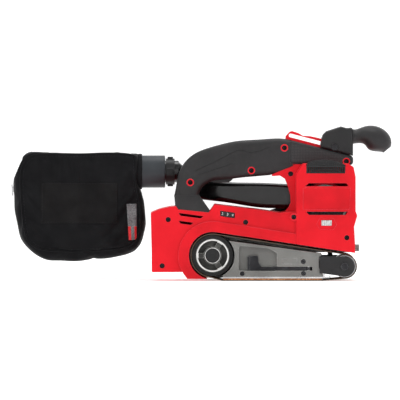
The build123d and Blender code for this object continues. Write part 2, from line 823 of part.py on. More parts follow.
cap_points = [(21.6, 144.4), (21.6, slope_z(21.6)), (100.8, slope_z(100.8)), (101, 143.2)]
cap_core_points = [
    (25.0, 138.0),
    (25.0, slope_z(25.0, -rubber)),
    (97.3, slope_z(97.3, -rubber)),
    (97.3, 138.0),
]
cap_hollow_points = [
    (35.0, 136.0),
    (35.0, slope_z(35.0, -rubber - skin)),
    (94.3, slope_z(94.3, -rubber - skin)),
    (94.3, 136.0),
]
foot_points = [(-118.1, 82), (-118.1, 112), (-94.0, 112), (-92.0, 82)]
foot_hollow = [(-115.1, 80), (-115.1, 114), (-97.0, 114), (-95.0, 80)]
core_half = grip_half - rubber

trigger_pin_x = -47.5
trigger_pin_z = 134.6
trigger_half = 7.0
lock_x = -38.0
lock_z = 148.0
lock_r = 4.0
dial_r = 14.0
dial_tilt = 8.2
dial_normal = (sin(radians(dial_tilt)), 0, cos(radians(dial_tilt)))
dial_center = (-55.2, -half_belt + dial_r - 1.5, 82.2)
dial_plane = Plane(origin=dial_center, x_dir=(0, 1, 0), z_dir=dial_normal)

hood_points = [
    (42.8, 141.5),
    (42.8, 143.2),
    (44.3, 146.8),
    (52.0, 149.2),
    (63.4, 150.2),
    (76.0, 149.0),
    (85.8, 146.4),
    (90.2, 143.2),
    (90.2, 141.5),
]
lip_points = [(41, 143), (44, 147), (52, 149.4), (63.4, 150.4), (76, 149.2), (86, 146.6), (92, 143)]


def hollow_half(near, far_mid, far_block, far_rear):
    """Hollows one half between the split and its outer walls."""
    for face, far in ((mid_cavity, far_mid), (block_cavity, far_block), (rear_cavity, far_rear)):
        prism(face, min(near, far), max(near, far), Mode.SUBTRACT)


def half_shell(direction, mid, rear, web, blk, face_y):
    """Shell work that both halves share; direction is -1 for the right half and 1 for the left."""

    def span(near, far):
        return sorted((direction * near, direction * far))

    add(mid)
    add(blk)
    add(rear)
    prism(core_face, *span(0, core_half))
    slab(foot_points, *span(0, core_half))
    slab(cap_core_points, *span(0, cap_half - rubber))
    add(web)
    hollow_half(0, direction * (face_y[0] - skin), direction * (face_y[1] - skin), direction * (rear_half - skin))
    slab(cap_hollow_points, *span(0, cap_half - rubber - skin), Mode.SUBTRACT)
    prism(hollow_face, *span(0, core_half - 2.5), Mode.SUBTRACT)
    slab(foot_hollow, *span(0, core_half - 2.5), Mode.SUBTRACT)
    # wall over the belt
    prism(loop_wall_kept.sketch, *span(0, face_y[0]))
    # motor sleeve and the ribs that carry it
    slab([(31, 89), (101, 89), (101, 95), (31, 95)], *span(2, stator_half))
    disc(motor_x, motor_z, stator_r + 3.0, *span(0, stator_half + bell_thick))
    disc(motor_x, motor_z, stator_r + 0.05, *span(-1, stator_half + bell_thick + 1), Mode.SUBTRACT)
    # battery dock with two undercut rails
    y0, y1 = span(0, rear_half - 2)
    block(-149.3, dock_back + skin, y0, y1, dock_low - 4, dock_high + 4)
    y0, y1 = span(-1, dock_half)
    block(-155, dock_back, y0, y1, dock_low, dock_high, Mode.SUBTRACT)
    y0, y1 = span(dock_half - 4, dock_half + 0.5)
    block(-149.2, -146.2, y0, y1, dock_low - 0.5, dock_high + 0.5)
    # seats for the trigger's pin
    disc(trigger_pin_x, trigger_pin_z, 3.4, *span(trigger_half + 0.6, core_half - 1))
    disc(trigger_pin_x, trigger_pin_z, 1.53, *span(-1, core_half - 0.8), Mode.SUBTRACT)
    # opening for the trigger
    y0, y1 = span(-1, trigger_half + 0.6)
    block(-79.0, -41.5, y0, y1, 116, 139.5, Mode.SUBTRACT)


with BuildPart() as housing_right:
    half_shell(-1, right_mid, right_rear, right_web, right_block, (half_belt, -block_y))
    slab_cut(lip_points, block_y - 1, block_y + 5.0)
    prism(rim_band.sketch, rim_y, -half_belt + skin)
    # the guard stays above the work
    block(-140, 110, rim_y - 1, 1, -20, guard_low, Mode.SUBTRACT)
    for x, z, y in body_screws + grip_screws:
        disc(x, z, boss_r, y, 0)
    prism(loop_cut.sketch, rim_y - 10, 5, Mode.SUBTRACT)
    for x, z, y in body_screws + grip_screws:
        disc(x, z, screw_hole_r, y - 1, y + screw_deep + 2.6, Mode.SUBTRACT)
        disc(x, z, screw_r + thread_gap, y, 1, Mode.SUBTRACT)
    # rear cooling slots
    slab_cut([(-115.8, 84.2), (-85.0, 79.9), (-88.5, 77.3), (-113.3, 80.5)], -half_belt - 1, -half_belt + skin + 4)
    slab_cut([(-115.8, 74.5), (-97.5, 72.0), (-100.6, 69.2), (-113.3, 70.9)], -half_belt - 1, -half_belt + skin + 4)
    # dial window, wider inside
    slab_cut([(-64.3, 86.9), (-46.1, 84.3), (-46.1, 77.5), (-64.3, 80.1)], -half_belt - 1, -half_belt + 2)
    slab_cut([(-68.0, 88.0), (-42.0, 84.2), (-42.0, 76.4), (-68.0, 80.2)], -half_belt + 1.4, -half_belt + skin + 1)
    # front slots, name-free panel, grille opening and indicator recess
    slab_cut([(40.8, 117.2), (45.4, 121.0), (92.1, 121.0), (94.2, 117.2)], block_y - 1, block_y + skin + 1)
    slab_cut([(41.8, 85.8), (94.2, 85.8), (91.1, 81.7), (45.9, 81.7)], block_y - 1, block_y + skin + 1)
    slab_cut([(38.5, 88.6), (96, 88.6), (97, 115.0), (38.5, 115.0)], block_y - 1, block_y + 0.7)
    slab_cut([(42.3, 133.1), (90.5, 133.1), (91.0, 143.1), (42.3, 143.1)], block_y - 1, block_y + skin + 2)
    slab_cut([(55.2, 70.5), (59.0, 63.9), (76.0, 63.4), (79.9, 70.0), (76.0, 77.4), (59.0, 77.8)], block_y - 1, block_y + 1.0)
    slab_cut([(61.2, 68.3), (73.8, 68.3), (74.2, 75.3), (60.9, 75.3)], block_y - 1, block_y + 2.5)
save("housing_right", housing_right.part)

with BuildPart() as housing_left:
    half_shell(1, left_mid, left_rear, left_web, left_block, (left_y, left_y))
    for x, z, y in body_screws[:2]:
        disc(x, z, boss_r, 0, rear_half - 1)
    for x, z, y in (body_screws[2], body_screws[5]):
        disc(x, z, boss_r, 0, left_y - 1)
    for x, z, y in body_screws[3:5] + grip_screws:
        disc(x, z, boss_r, 0, 13.0)
    prism(loop_cut.sketch, -5, left_y + 1, Mode.SUBTRACT)
    prism(wall_pocket.sketch, wall_y - 0.2, left_y + 1, Mode.SUBTRACT)
    for x, z, y in body_screws + grip_screws:
        disc(x, z, screw_r + thread_gap, -1, 10.5, Mode.SUBTRACT)
    disc(motor_x, motor_z, 7.0, left_y - 6, left_y + 1, Mode.SUBTRACT)
    # duct's way in
    block(28.0, 34.0, 18.2, 43.8, 87.0, 121.0, Mode.SUBTRACT)
    # room for the tracking screw's boss
    block(84.5, 104.5, left_y - 3.5, left_y + 1, 28, 45.0, Mode.SUBTRACT)
    disc(lock_x, lock_z, lock_r + 0.3, 8.0, grip_half + 1, Mode.SUBTRACT)
    for boss_x, boss_z in cover_bosses[3:]:
        disc(boss_x, boss_z, screw_r + thread_gap, left_y - 9, left_y + 1, Mode.SUBTRACT)
save("housing_left", housing_left.part)

with BuildPart() as housing_screws:
    for x, z, y in body_screws + grip_screws:
        disc(x, z, screw_head_r, y + screw_deep, y + screw_deep + 2.5)
        disc(x, z, screw_r, y + screw_deep + 2.5, 9.5)
        disc(x, z, 1.3, y + screw_deep - 1, y + screw_deep + 1.6, Mode.SUBTRACT)
    for x, z in cover_bosses:
        disc(x, z, screw_r, left_y - 5.0, left_y + 4.1)
        disc(x, z, screw_head_r, left_y + 4.1, left_y + 6.6)
        disc(x, z, 1.3, left_y + 5.0, left_y + 7, Mode.SUBTRACT)
save("housing_screws", housing_screws.part)

# ---------------------------------------------------------------- rubber grips
boot_low = 82.0
boot_high = 106.0


def rubber_half(direction, mid, rear, web, blk):
    """Rubber over one half of the handle, its foot and the top of the motor block."""

    def span(near, far):
        return sorted((direction * near, direction * far))

    with BuildPart(mode=Mode.PRIVATE) as bar:
        prism(grip_face, *span(0, grip_half))
        outer = faces().sort_by(Axis.Y)[0 if direction < 0 else -1]
        fillet(outer.edges().filter_by(GeomType.BSPLINE), 8.0)
    add(bar.part)
    add(rounded_slab(cap_points, 4.0, 3.8, *span(0, cap_half), direction))
    with BuildPart(mode=Mode.PRIVATE) as boot:
        with BuildSketch(Plane.XY.offset(boot_low), mode=Mode.PRIVATE) as low_face:
            with Locations((-96.5, direction * 17)):
                Rectangle(45.0, 34.0)
        with BuildSketch(Plane.XY.offset(boot_high), mode=Mode.PRIVATE) as high_face:
            with Locations((-106.0, direction * 8.25)):
                Rectangle(30.8, 16.5)
        loft([low_face.sketch.faces()[0], high_face.sketch.faces()[0]], ruled=True)
    add(boot.part)
    prism(core_face, *span(0, core_half), Mode.SUBTRACT)
    slab(foot_points, *span(0, core_half), Mode.SUBTRACT)
    slab(cap_core_points, *span(0, cap_half - rubber), Mode.SUBTRACT)
    for solid in (mid, rear, web, blk):
        add(solid, mode=Mode.SUBTRACT)
    y0, y1 = span(-1, trigger_half + 0.6)
    block(-79.0, -41.5, y0, y1, 116, 139.5, Mode.SUBTRACT)
    y0, y1 = span(-1, rail_half + 0.05)
    block(16.95, 105.0, y0, y1, 150, 190, Mode.SUBTRACT)


with BuildPart() as grip_right:
    rubber_half(-1, right_mid, right_rear, right_web, right_block)
    slab_cut(lip_points, block_y, -30)
    for x, z, y in body_screws + grip_screws:
        disc(x, z, boss_r + 0.02, y - 1, 1, Mode.SUBTRACT)
save("grip_right", grip_right.part)

with BuildPart() as grip_left:
    rubber_half(1, left_mid, left_rear, left_web, left_block)
    disc(lock_x, lock_z, lock_r + 0.3, 8.0, grip_half + 1, Mode.SUBTRACT)
    for x, z, y in body_screws + grip_screws:
        disc(x, z, boss_r + 0.02, -1, 13.1, Mode.SUBTRACT)
save("grip_left", grip_left.part)

# ---------------------------------------------------------------- small pieces of the housing
with BuildPart() as vent_grille:
    slab([(42.6, 133.4), (90.2, 133.4), (90.6, 142.5), (42.6, 142.5)], block_y + 1.6, block_y + 3.2)
    slab(hood_points, block_y + 0.6, block_y + 4.9)
    for step in range(19):
        left = 44.6 + 2.4 * step
        right = left + 1.1
        slab_cut([(left, 134.8), (right, 134.8), (right, 141.2), (left, 141.2)], -60, 0)
        arch = 148.0 - 0.0075 * (left - 64.0) ** 2
        slab_cut([(left, 142.0), (right, 142.0), (right, arch), (left, arch)], -60, block_y + 2.0)
save("vent_grille", vent_grille.part)

with BuildPart() as indicator_lens:
    slab([(61.35, 68.45), (73.65, 68.45), (74.0, 75.15), (61.05, 75.15)], block_y + 0.6, block_y + 2.4)
    fillet(faces().sort_by(Axis.Y)[0].edges(), 0.5)
save("indicator_lens", indicator_lens.part)

with BuildPart() as speed_dial:
    with BuildSketch(dial_plane.offset(-2.9)):
        Circle(dial_r)
        with PolarLocations(dial_r, 40):
            Circle(0.45, mode=Mode.SUBTRACT)
        Circle(2.04, mode=Mode.SUBTRACT)
    extrude(amount=5.8)
save("speed_dial", speed_dial.part)

with BuildPart() as speed_sensor:
    with BuildSketch(dial_plane.offset(-9.5)):
        RectangleRounded(14, 12, 1.5)
    extrude(amount=6.2)
    with BuildSketch(dial_plane.offset(-4.5)):
        Circle(2.0)
    extrude(amount=8.5)
save("speed_sensor", speed_sensor.part)

# ---------------------------------------------------------------- trigger, switch and lock button
with BuildPart() as trigger:
    slab(
        [
            (-76.5, 133.0),
            (-76.5, 124.6),
            (-73.0, 121.2),
            (-54.0, 121.2),
            (-50.0, 124.0),
            (-44.5, 130.2),
            (-43.6, 137.0),
            (-50.0, 141.0),
            (-72.0, 141.0),
        ],
        -trigger_half,
        trigger_half,
    )
    fillet(edges().filter_by(Axis.Y), 1.5)
    chamfer(faces().filter_by(Axis.Y).edges(), 0.8)
    disc(trigger_pin_x, trigger_pin_z, 1.54, -10, 10, Mode.SUBTRACT)
    with BuildSketch(Plane.XY.offset(136.0)):
        with Locations((-66.0, 0)):
            Circle(3.2)
    extrude(amount=8, mode=Mode.SUBTRACT)
save("trigger", trigger.part)

with BuildPart() as trigger_pin:
    disc(trigger_pin_x, trigger_pin_z, 1.5, -core_half + 1.2, core_half - 1.2)
save("trigger_pin", trigger_pin.part)

with BuildPart() as trigger_spring:
    with BuildLine() as trigger_coil:
        Helix(pitch=1.7, height=8.4, radius=2.2, center=(-66.0, 0, 136.5))
    with BuildSketch(Plane(origin=trigger_coil.line @ 0, z_dir=trigger_coil.line % 0)):
        Circle(0.35)
    sweep()
save("trigger_spring", trigger_spring.part)

with BuildPart() as switch_body:
    block(-82.0, -57.0, -9.0, 9.0, 145.6, 155.6)
    fillet(edges().filter_by(Axis.Y), 1.0)
save("switch_body", switch_body.part)

with BuildPart() as lock_button:
    disc(lock_x, lock_z, lock_r, 7.0, grip_half + 3.0)
    fillet(faces().sort_by(Axis.Y)[-1].edges(), 1.0)
    disc(lock_x, lock_z, 6.0, 7.0, 8.6)
save("lock_button", lock_button.part)

# ---------------------------------------------------------------- electronics
with BuildPart() as control_board:
    block(-121.0, -119.4, -28, 28, 18, 64)
    for row in range(3):
        block(-126.0, -121.0, -20 + 14 * row, -10 + 14 * row, 26, 38)
    block(-119.4, -115.4, -18, 14, 44, 58)
save("control_board", control_board.part)

with BuildPart() as terminal_block:
    block(dock_back - 5.0, dock_back, -15, 15, 38, 60)
    fillet(edges().filter_by(Axis.X), 1.5)
    for row in range(4):
        block(dock_back - 6, dock_back + 1, -10.9 + 7 * row, -10.06 + 7 * row, 41.9, 56.1, Mode.SUBTRACT)
save("terminal_block", terminal_block.part)

with BuildPart() as terminal_blades:
    for row in range(4):
        block(dock_back - 6.6, dock_back, -10.88 + 7 * row, -10.08 + 7 * row, 42, 56)
save("terminal_blades", terminal_blades.part)

# ---------------------------------------------------------------- handle rail and front handle
slot_mid = 5.7
with BuildPart() as handle_rail:
    with BuildSketch(side(rail_half)):
        closed(
            [
                (17.0, slope_z(17.0, -3.4)),
                (17.0, 178.6),
                (22.2, 184.5),
                (25.3, 185.2),
                (33.5, 182.6),
                (38.7, 179.3),
                (47.4, 178.9),
                (56.0, slope_z(56.0, rail_high)),
                (97.0, slope_z(97.0, rail_high)),
                (97.0, slope_z(97.0, -3.4)),
            ]
        )
        fillet(vertices().filter_by(lambda v: v.X < 30 and v.Z > 178), 1.2)
    extrude(amount=2 * rail_half)
    with BuildSketch(side(rail_half + 1)):
        with Locations((56.5, slope_z(56.5, slot_mid))):
            SlotOverall(73, slot_high, rotation=slope)
    extrude(amount=2 * rail_half + 2, mode=Mode.SUBTRACT)
save("handle_rail", handle_rail.part)

clamp_z = slope_z(clamp_x, slot_mid)
bolt_r = 2.0
base_points = [
    (59.8, slope_z(59.8, slide_gap)),
    (61.5, 175.5),
    (63.4, 180.9),
    (67.5, 185.0),
    (85.9, 191.0),
    (93.1, 189.0),
    (98.8, 189.6),
    (100.8, 187.0),
    (100.8, slope_z(100.8, slide_gap)),
]
groove_points = [
    (50.0, slope_z(50.0, -5)),
    (50.0, slope_z(50.0, rail_high + 1.6)),
    (110.0, slope_z(110.0, rail_high + 1.6)),
    (110.0, slope_z(110.0, -5)),
]
with BuildPart() as front_handle_base:
    add(rounded_slab(base_points, 1.0, 3.0, -base_half, 0, -1))
    add(rounded_slab(base_points, 1.0, 3.0, 0, base_half, 1))
    slab_cut(groove_points, -rail_half - slide_gap, rail_half + slide_gap)
    disc(clamp_x, clamp_z, bolt_r + 0.02, -30, 30, Mode.SUBTRACT)
    disc(clamp_x, clamp_z, 4.5, -30, -base_half + 4.0, Mode.SUBTRACT)
save("front_handle_base", front_handle_base.part)

knob_stations = (
    ((100.8, 178.5), 0, 9.2, 16.0),
    ((106.5, 179.0), 0, 9.0, 15.5),
    ((115.5, 180.4), -8, 11.2, 18.0),
    ((126.5, 177.0), -32, 15.0, 20.5),
    ((136.5, 169.5), -48, 13.8, 19.0),
    ((143.4, 162.4), -50, 6.5, 10.0),
)
with BuildPart() as front_handle_grip:
    for (x, z), turn, high, wide in knob_stations:
        with BuildSketch(Plane(origin=(x, 0, z), x_dir=(0, 1, 0), z_dir=(cos(radians(turn)), 0, sin(radians(turn))))):
            Ellipse(wide, high)
    loft()
save("front_handle_grip", front_handle_grip.part)

with BuildPart() as clamp_bolt:
    disc(clamp_x, clamp_z, bolt_r, -base_half + 3.8, base_half + 8.0)
    disc(clamp_x, clamp_z, 4.2, -base_half + 1.0, -base_half + 3.9)
save("clamp_bolt", clamp_bolt.part)

with BuildPart() as clamp_knob:
    with BuildSketch(side(base_half + 11.0)):
        with Locations((clamp_x, clamp_z)):
            Circle(10.0)
            with PolarLocations(11.5, 6):
                Circle(3.2, mode=Mode.SUBTRACT)
    extrude(amount=10.6)
    fillet(faces().sort_by(Axis.Y)[-1].edges(), 1.0)
    disc(clamp_x, clamp_z, bolt_r + 0.05, base_half, base_half + 8.6, Mode.SUBTRACT)
save("clamp_knob", clamp_knob.part)

# ---------------------------------------------------------------- dust duct
duct_stations = (
    (33.0, 30.5, 103.5, 24.0, 31.0, 5.0),
    (10.0, 30.5, 104.2, 24.0, 30.6, 5.0),
    (-20.0, 31.0, 105.4, 24.0, 30.4, 5.0),
    (-60.0, 35.0, 109.2, 24.0, 25.6, 6.0),
    (-92.0, 45.5, 115.0, 25.0, 30.0, 9.0),
    (port_x + 2.0, port_y, port_z, 2 * neck_r - 2.0, 2 * neck_r - 2.0, neck_r - 3.0),
)
duct_wall = 2.2
with BuildPart() as duct_outside:
    for x, y, z, wide, high, corner in duct_stations:
        with BuildSketch(Plane.YZ.offset(x)):
            with Locations((y, z)):
                RectangleRounded(wide, high, corner)
    loft()
with BuildPart() as duct_inside:
    for x, y, z, wide, high, corner in duct_stations:
        with BuildSketch(Plane.YZ.offset(x)):
            with Locations((y, z)):
                RectangleRounded(wide - 2 * duct_wall, high - 2 * duct_wall, corner - duct_wall)
    loft()
with BuildPart() as dust_duct:
    add(duct_outside.part)
    with BuildSketch(Plane.YZ.offset(port_x + 2.0)):
        with Locations((port_y, port_z)):
            Circle(neck_r)
    extrude(amount=-34.0)
    add(duct_inside.part, mode=Mode.SUBTRACT)
    with BuildSketch(Plane.YZ.offset(port_x + 2.0)):
        with Locations((port_y, port_z)):
            Circle(neck_r - duct_wall)
    extrude(amount=-40, mode=Mode.SUBTRACT)
save("dust_duct", dust_duct.part)

collar_x0 = port_x - 14.0
collar_x1 = port_x - 3.0
with BuildPart() as bayonet_collar:
    with BuildSketch(Plane.YZ.offset(collar_x0)):
        with Locations((port_y, port_z)):
            Circle(neck_r + 2.6)
            Circle(neck_r + 0.08, mode=Mode.SUBTRACT)
    extrude(amount=collar_x1 - collar_x0)
    with BuildSketch(Plane.YZ.offset(collar_x0 + 2.0)):
        with Locations((port_y, port_z)):
            with PolarLocations(neck_r + 3.0, 4):
                RectangleRounded(3.4, 9.0, 0.8)
            Circle(neck_r + 1.0, mode=Mode.SUBTRACT)
    extrude(amount=7.0)
save("bayonet_collar", bayonet_collar.part)

# ---------------------------------------------------------------- dust bag
tube_x1 = -132.8
tube_x0 = -163.7
with BuildPart() as bag_adapter:
    with BuildSketch(Plane.YZ.offset(tube_x0)):
        with Locations((port_y, port_z)):
            Circle(tube_r)
    extrude(amount=tube_x1 - tube_x0)
    fillet(faces().sort_by(Axis.X)[-1].edges(), 1.2)
    with BuildSketch(Plane.YZ.offset(tube_x0 - 12)):
        with Locations((port_y, port_z)):
            Circle(tube_r - 2.4)
    extrude(amount=13)
    with BuildSketch(Plane.YZ.offset(tube_x0 - 14)):
        with Locations((port_y, port_z)):
            Circle(neck_r + 0.4)
    extrude(amount=60, mode=Mode.SUBTRACT)
save("bag_adapter", bag_adapter.part)

bag_points = [
    (-165.0, 156.5),
    (-186.0, 159.0),
    (-210.0, 160.8),
    (-264.5, 160.1),
    (-302.0, 158.5),
    (-318.5, 146.0),
    (-321.0, 128.0),
    (-319.5, 98.0),
    (-318.0, 80.0),
    (-314.4, 59.0),
    (-308.0, 44.5),
    (-297.0, 32.0),
    (-275.4, 25.0),
    (-246.4, 24.4),
    (-210.1, 27.0),
    (-178.0, 31.5),
    (-166.0, 40.0),
    (-160.5, 59.1),
    (-159.2, 91.9),
    (-161.5, 112.0),
]
with BuildSketch() as bag_side:
    closed(bag_points)
    fillet(vertices(), 3.0)
bag_face = bag_side.sketch.faces()[0]
bag_inner = offset(bag_face, -1.6, kind=Kind.INTERSECTION, mode=Mode.PRIVATE)
bag_low = bag_y - bag_half
bag_high = bag_y + bag_half
with BuildPart() as bag_fill:
    prism(bag_inner, bag_low + 1.6, bag_high - 1.6)
    fillet(faces().filter_by(Axis.Y).edges(), 8.5)
with BuildPart() as dust_bag:
    prism(bag_face, bag_low, bag_high)
    fillet(faces().filter_by(Axis.Y).edges(), 10.0)
    add(bag_fill.part, mode=Mode.SUBTRACT)
    # sewn sleeve round the adapter
    with BuildSketch(Plane.YZ.offset(tube_x0 - 11.5)):
        with Locations((port_y, port_z)):
            Circle(tube_r + 0.4)
    extrude(amount=11.4)
    with BuildSketch(Plane.YZ.offset(tube_x0 - 30)):
        with Locations((port_y, port_z)):
            Circle(tube_r - 2.35)
    extrude(amount=40, mode=Mode.SUBTRACT)
    with BuildSketch(Plane.YZ.offset(tube_x0 - 0.1)):
        with Locations((port_y, port_z)):
            Circle(tube_r + 0.3)
    extrude(amount=20, mode=Mode.SUBTRACT)
save("dust_bag", dust_bag.part)

with BuildPart() as zip_tape:
    slab(
        [
            (-317.0, 73.0),
            (-318.3, 80.0),
            (-319.8, 98.0),
            (-321.2, 126.0),
            (-322.2, 126.0),
            (-320.8, 98.0),
            (-319.3, 80.0),
            (-318.0, 73.0),
        ],
        bag_y - 5,
        bag_y + 5,
    )
save("zip_tape", zip_tape.part)

zip_plane = Plane(origin=(-323.2, bag_y, 112.0), x_dir=(0, 1, 0), z_dir=(-0.05, 0, 0.99875))
with BuildPart() as zip_slider:
    with BuildSketch(zip_plane.offset(-3.5)):
        Rectangle(7.0, 1.6)
    extrude(amount=7.0)
    with BuildSketch(zip_plane.offset(-8.0)):
        with Locations((0, 1.2)):
            RectangleRounded(4.0, 1.2, 0.4)
    extrude(amount=14.0)
save("zip_slider", zip_slider.part)

with BuildPart() as bag_tag:
    block(-181.0, -168.5, bag_low - 0.8, bag_low - 0.02, 49.0, 94.6)
save("bag_tag", bag_tag.part)
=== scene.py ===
import math

import bmesh
import bpy
import numpy as np
from mathutils import Matrix, Vector
from mathutils.bvhtree import BVHTree


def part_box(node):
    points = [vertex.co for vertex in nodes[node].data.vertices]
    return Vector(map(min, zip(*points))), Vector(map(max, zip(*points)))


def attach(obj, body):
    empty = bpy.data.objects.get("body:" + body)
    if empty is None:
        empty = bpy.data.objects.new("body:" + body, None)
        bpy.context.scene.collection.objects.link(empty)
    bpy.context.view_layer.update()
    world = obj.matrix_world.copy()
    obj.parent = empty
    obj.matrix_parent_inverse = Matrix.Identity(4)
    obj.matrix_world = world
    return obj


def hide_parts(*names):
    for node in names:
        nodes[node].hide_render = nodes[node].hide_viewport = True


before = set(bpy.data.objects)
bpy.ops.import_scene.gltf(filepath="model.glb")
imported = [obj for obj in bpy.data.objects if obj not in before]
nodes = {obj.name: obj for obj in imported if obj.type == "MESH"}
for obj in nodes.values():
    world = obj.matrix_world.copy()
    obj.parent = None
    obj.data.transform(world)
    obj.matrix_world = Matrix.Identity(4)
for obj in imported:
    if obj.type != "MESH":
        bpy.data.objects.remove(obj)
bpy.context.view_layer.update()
MM = 0.001


# ---------------------------------------------------------------- node helpers
class Finish:
    """A material with a Principled shader and short calls for the nodes around it."""

    def __init__(self, name):
        self.material = bpy.data.materials.new(name)
        self.material.use_nodes = True
        self.tree = self.material.node_tree
        self.shader = self.tree.nodes["Principled BSDF"]
        self.place = self.add("ShaderNodeTexCoord").outputs["Object"]

    def add(self, kind, **values):
        node = self.tree.nodes.new(kind)
        for key, value in values.items():
            setattr(node, key, value)
        return node

    def link(self, source, target):
        self.tree.links.new(source, target)

    def math(self, operation, a, b=0.0, c=0.0):
        node = self.add("ShaderNodeMath", operation=operation)
        for socket, value in zip(node.inputs, (a, b, c)):
            if isinstance(value, (int, float)):
                socket.default_value = value
            else:
                self.link(value, socket)
        return node.outputs[0]

    def noise(self, scale, detail=2.0, rough=0.5, place=None):
        node = self.add("ShaderNodeTexNoise")
        node.inputs["Scale"].default_value = scale
        node.inputs["Detail"].default_value = detail
        node.inputs["Roughness"].default_value = rough
        self.link(place or self.place, node.inputs["Vector"])
        return node.outputs["Fac"]

    def cells(self, scale, randomness=1.0):
        node = self.add("ShaderNodeTexVoronoi")
        node.inputs["Scale"].default_value = scale
        node.inputs["Randomness"].default_value = randomness
        self.link(self.place, node.inputs["Vector"])
        return node.outputs["Distance"]

    def wave(self, scale, direction):
        node = self.add("ShaderNodeTexWave")
        node.bands_direction = direction
        node.inputs["Scale"].default_value = scale
        self.link(self.place, node.inputs["Vector"])
        return node.outputs["Fac"]

    def ramp(self, source, *stops):
        node = self.add("ShaderNodeValToRGB")
        line = node.color_ramp
        while len(line.elements) < len(stops):
            line.elements.new(0.5)
        for element, (place, colour) in zip(line.elements, stops):
            element.position = place
            element.color = (*colour, 1.0)
        self.link(source, node.inputs["Fac"])
        return node.outputs["Color"]

    def spread(self, source, low, high, start=0.3, end=0.7):
        node = self.add("ShaderNodeMapRange")
        node.inputs["From Min"].default_value = start
        node.inputs["From Max"].default_value = end
        node.inputs["To Min"].default_value = low
        node.inputs["To Max"].default_value = high
        self.link(source, node.inputs["Value"])
        return node.outputs["Result"]

    def mix(self, share, a, b):
        node = self.add("ShaderNodeMix", data_type="RGBA")
        if isinstance(share, (int, float)):
            node.inputs["Factor"].default_value = share
        else:
            self.link(share, node.inputs["Factor"])
        for index, value in ((6, a), (7, b)):
            if isinstance(value, tuple):
                node.inputs[index].default_value = (*value, 1.0)
            else:
                self.link(value, node.inputs[index])
        return node.outputs[2]

    def axes(self):
        node = self.add("ShaderNodeSeparateXYZ")
        self.link(self.place, node.inputs[0])
        return node.outputs

    def edge(self, radius, start=0.004, end=0.12):
        """1 on edges, 0 on flat faces: the mask for painted edge highlight and wear."""
        bevel = self.add("ShaderNodeBevel", samples=4)
        bevel.inputs["Radius"].default_value = radius
        plain = self.add("ShaderNodeNewGeometry").outputs["Normal"]
        dot = self.add("ShaderNodeVectorMath", operation="DOT_PRODUCT")
        self.link(bevel.outputs[0], dot.inputs[0])
        self.link(plain, dot.inputs[1])
        off = self.math("SUBTRACT", 1.0, dot.outputs["Value"])
        return self.spread(off, 0.0, 1.0, start, end)

    def relief(self, height, depth, strength=1.0, soft_edge=0.0):
        bump = self.add("ShaderNodeBump")
        bump.inputs["Strength"].default_value = strength
        bump.inputs["Distance"].default_value = depth
        self.link(height, bump.inputs["Height"])
        if soft_edge:
            bevel = self.add("ShaderNodeBevel", samples=4)
            bevel.inputs["Radius"].default_value = soft_edge
            self.link(bevel.outputs[0], bump.inputs["Normal"])
        self.link(bump.outputs[0], self.shader.inputs["Normal"])

    def set(self, **values):
        for key, value in values.items():
            socket = self.shader.inputs[key.replace("_", " ")]
            if isinstance(value, (int, float, tuple)):
                socket.default_value = value
            else:
                self.link(value, socket)
        return self


def srgb(r, g, b):
    return tuple(
        ((v / 255 + 0.055) / 1.055) ** 2.4 if v > 10 else v / 255 / 12.92 for v in (r, g, b)
    )


def moulded(
    name,
    low,
    mid,
    high,
    edge,
    rough=(0.38, 0.5),
    grain=1500.0,
    depth=0.00003,
    soft_edge=0.0005,
    shine=0.3,
):
    """Moulded plastic or rubber: cloudy colour, fine spark grain, edges lightened by a painted
    highlight patchy like wear.
    """
    f = Finish(name)
    cloud = f.noise(14.0, 4.0, 0.55)
    colour = f.ramp(cloud, (0.3, low), (0.5, mid), (0.72, high))
    speck = f.noise(420.0, 3.0, 0.6)
    colour = f.mix(f.spread(speck, 0.0, 0.16, 0.5, 0.8), colour, low)
    # painted highlight: edges mixed towards the lighter edge colour, broken up by noise like wear
    edge_highlight_and_wear = f.math("MULTIPLY", f.edge(0.0007), f.spread(f.noise(60.0, 3.0), 0.35, 0.9))
    colour = f.mix(edge_highlight_and_wear, colour, edge)
    roughness = f.spread(f.noise(36.0, 4.0, 0.6), rough[0], rough[1])
    f.set(Base_Color=colour, Roughness=roughness, Specular_IOR_Level=shine)
    f.relief(f.noise(grain, 2.0, 0.6), depth, 0.6, soft_edge)
    return f.material


def metal(
    name, low, mid, high, rough=(0.25, 0.4), brushed=None, depth=0.00002, cast=False, edge=None
):
    """Metal: cloudy tone, brushed or cast grain, edges brightened by a painted highlight patchy
    like wear.
    """
    f = Finish(name)
    colour = f.ramp(f.noise(26.0, 4.0, 0.6), (0.3, low), (0.5, mid), (0.7, high))
    if brushed:
        stretch = f.add("ShaderNodeMapping")
        stretch.inputs["Scale"].default_value = brushed
        f.link(f.place, stretch.inputs["Vector"])
        grain = f.noise(900.0, 3.0, 0.6, place=stretch.outputs[0])
    else:
        grain = f.noise(1300.0 if cast else 2400.0, 3.0, 0.65)
    colour = f.mix(f.spread(grain, 0.0, 0.22, 0.45, 0.75), colour, low)
    # painted highlight: edges mixed towards the edge colour, broken up by noise like wear
    edge_highlight_and_wear = f.math("MULTIPLY", f.edge(0.0006), f.spread(f.noise(80.0, 3.0), 0.3, 0.9))
    colour = f.mix(edge_highlight_and_wear, colour, edge or high)
    f.set(
        Base_Color=colour,
        Metallic=1.0,
        Roughness=f.spread(f.noise(70.0, 4.0, 0.6), rough[0], rough[1]),
    )
    f.relief(grain, 0.00008 if cast else depth, 0.5, 0.0004)
    return f.material
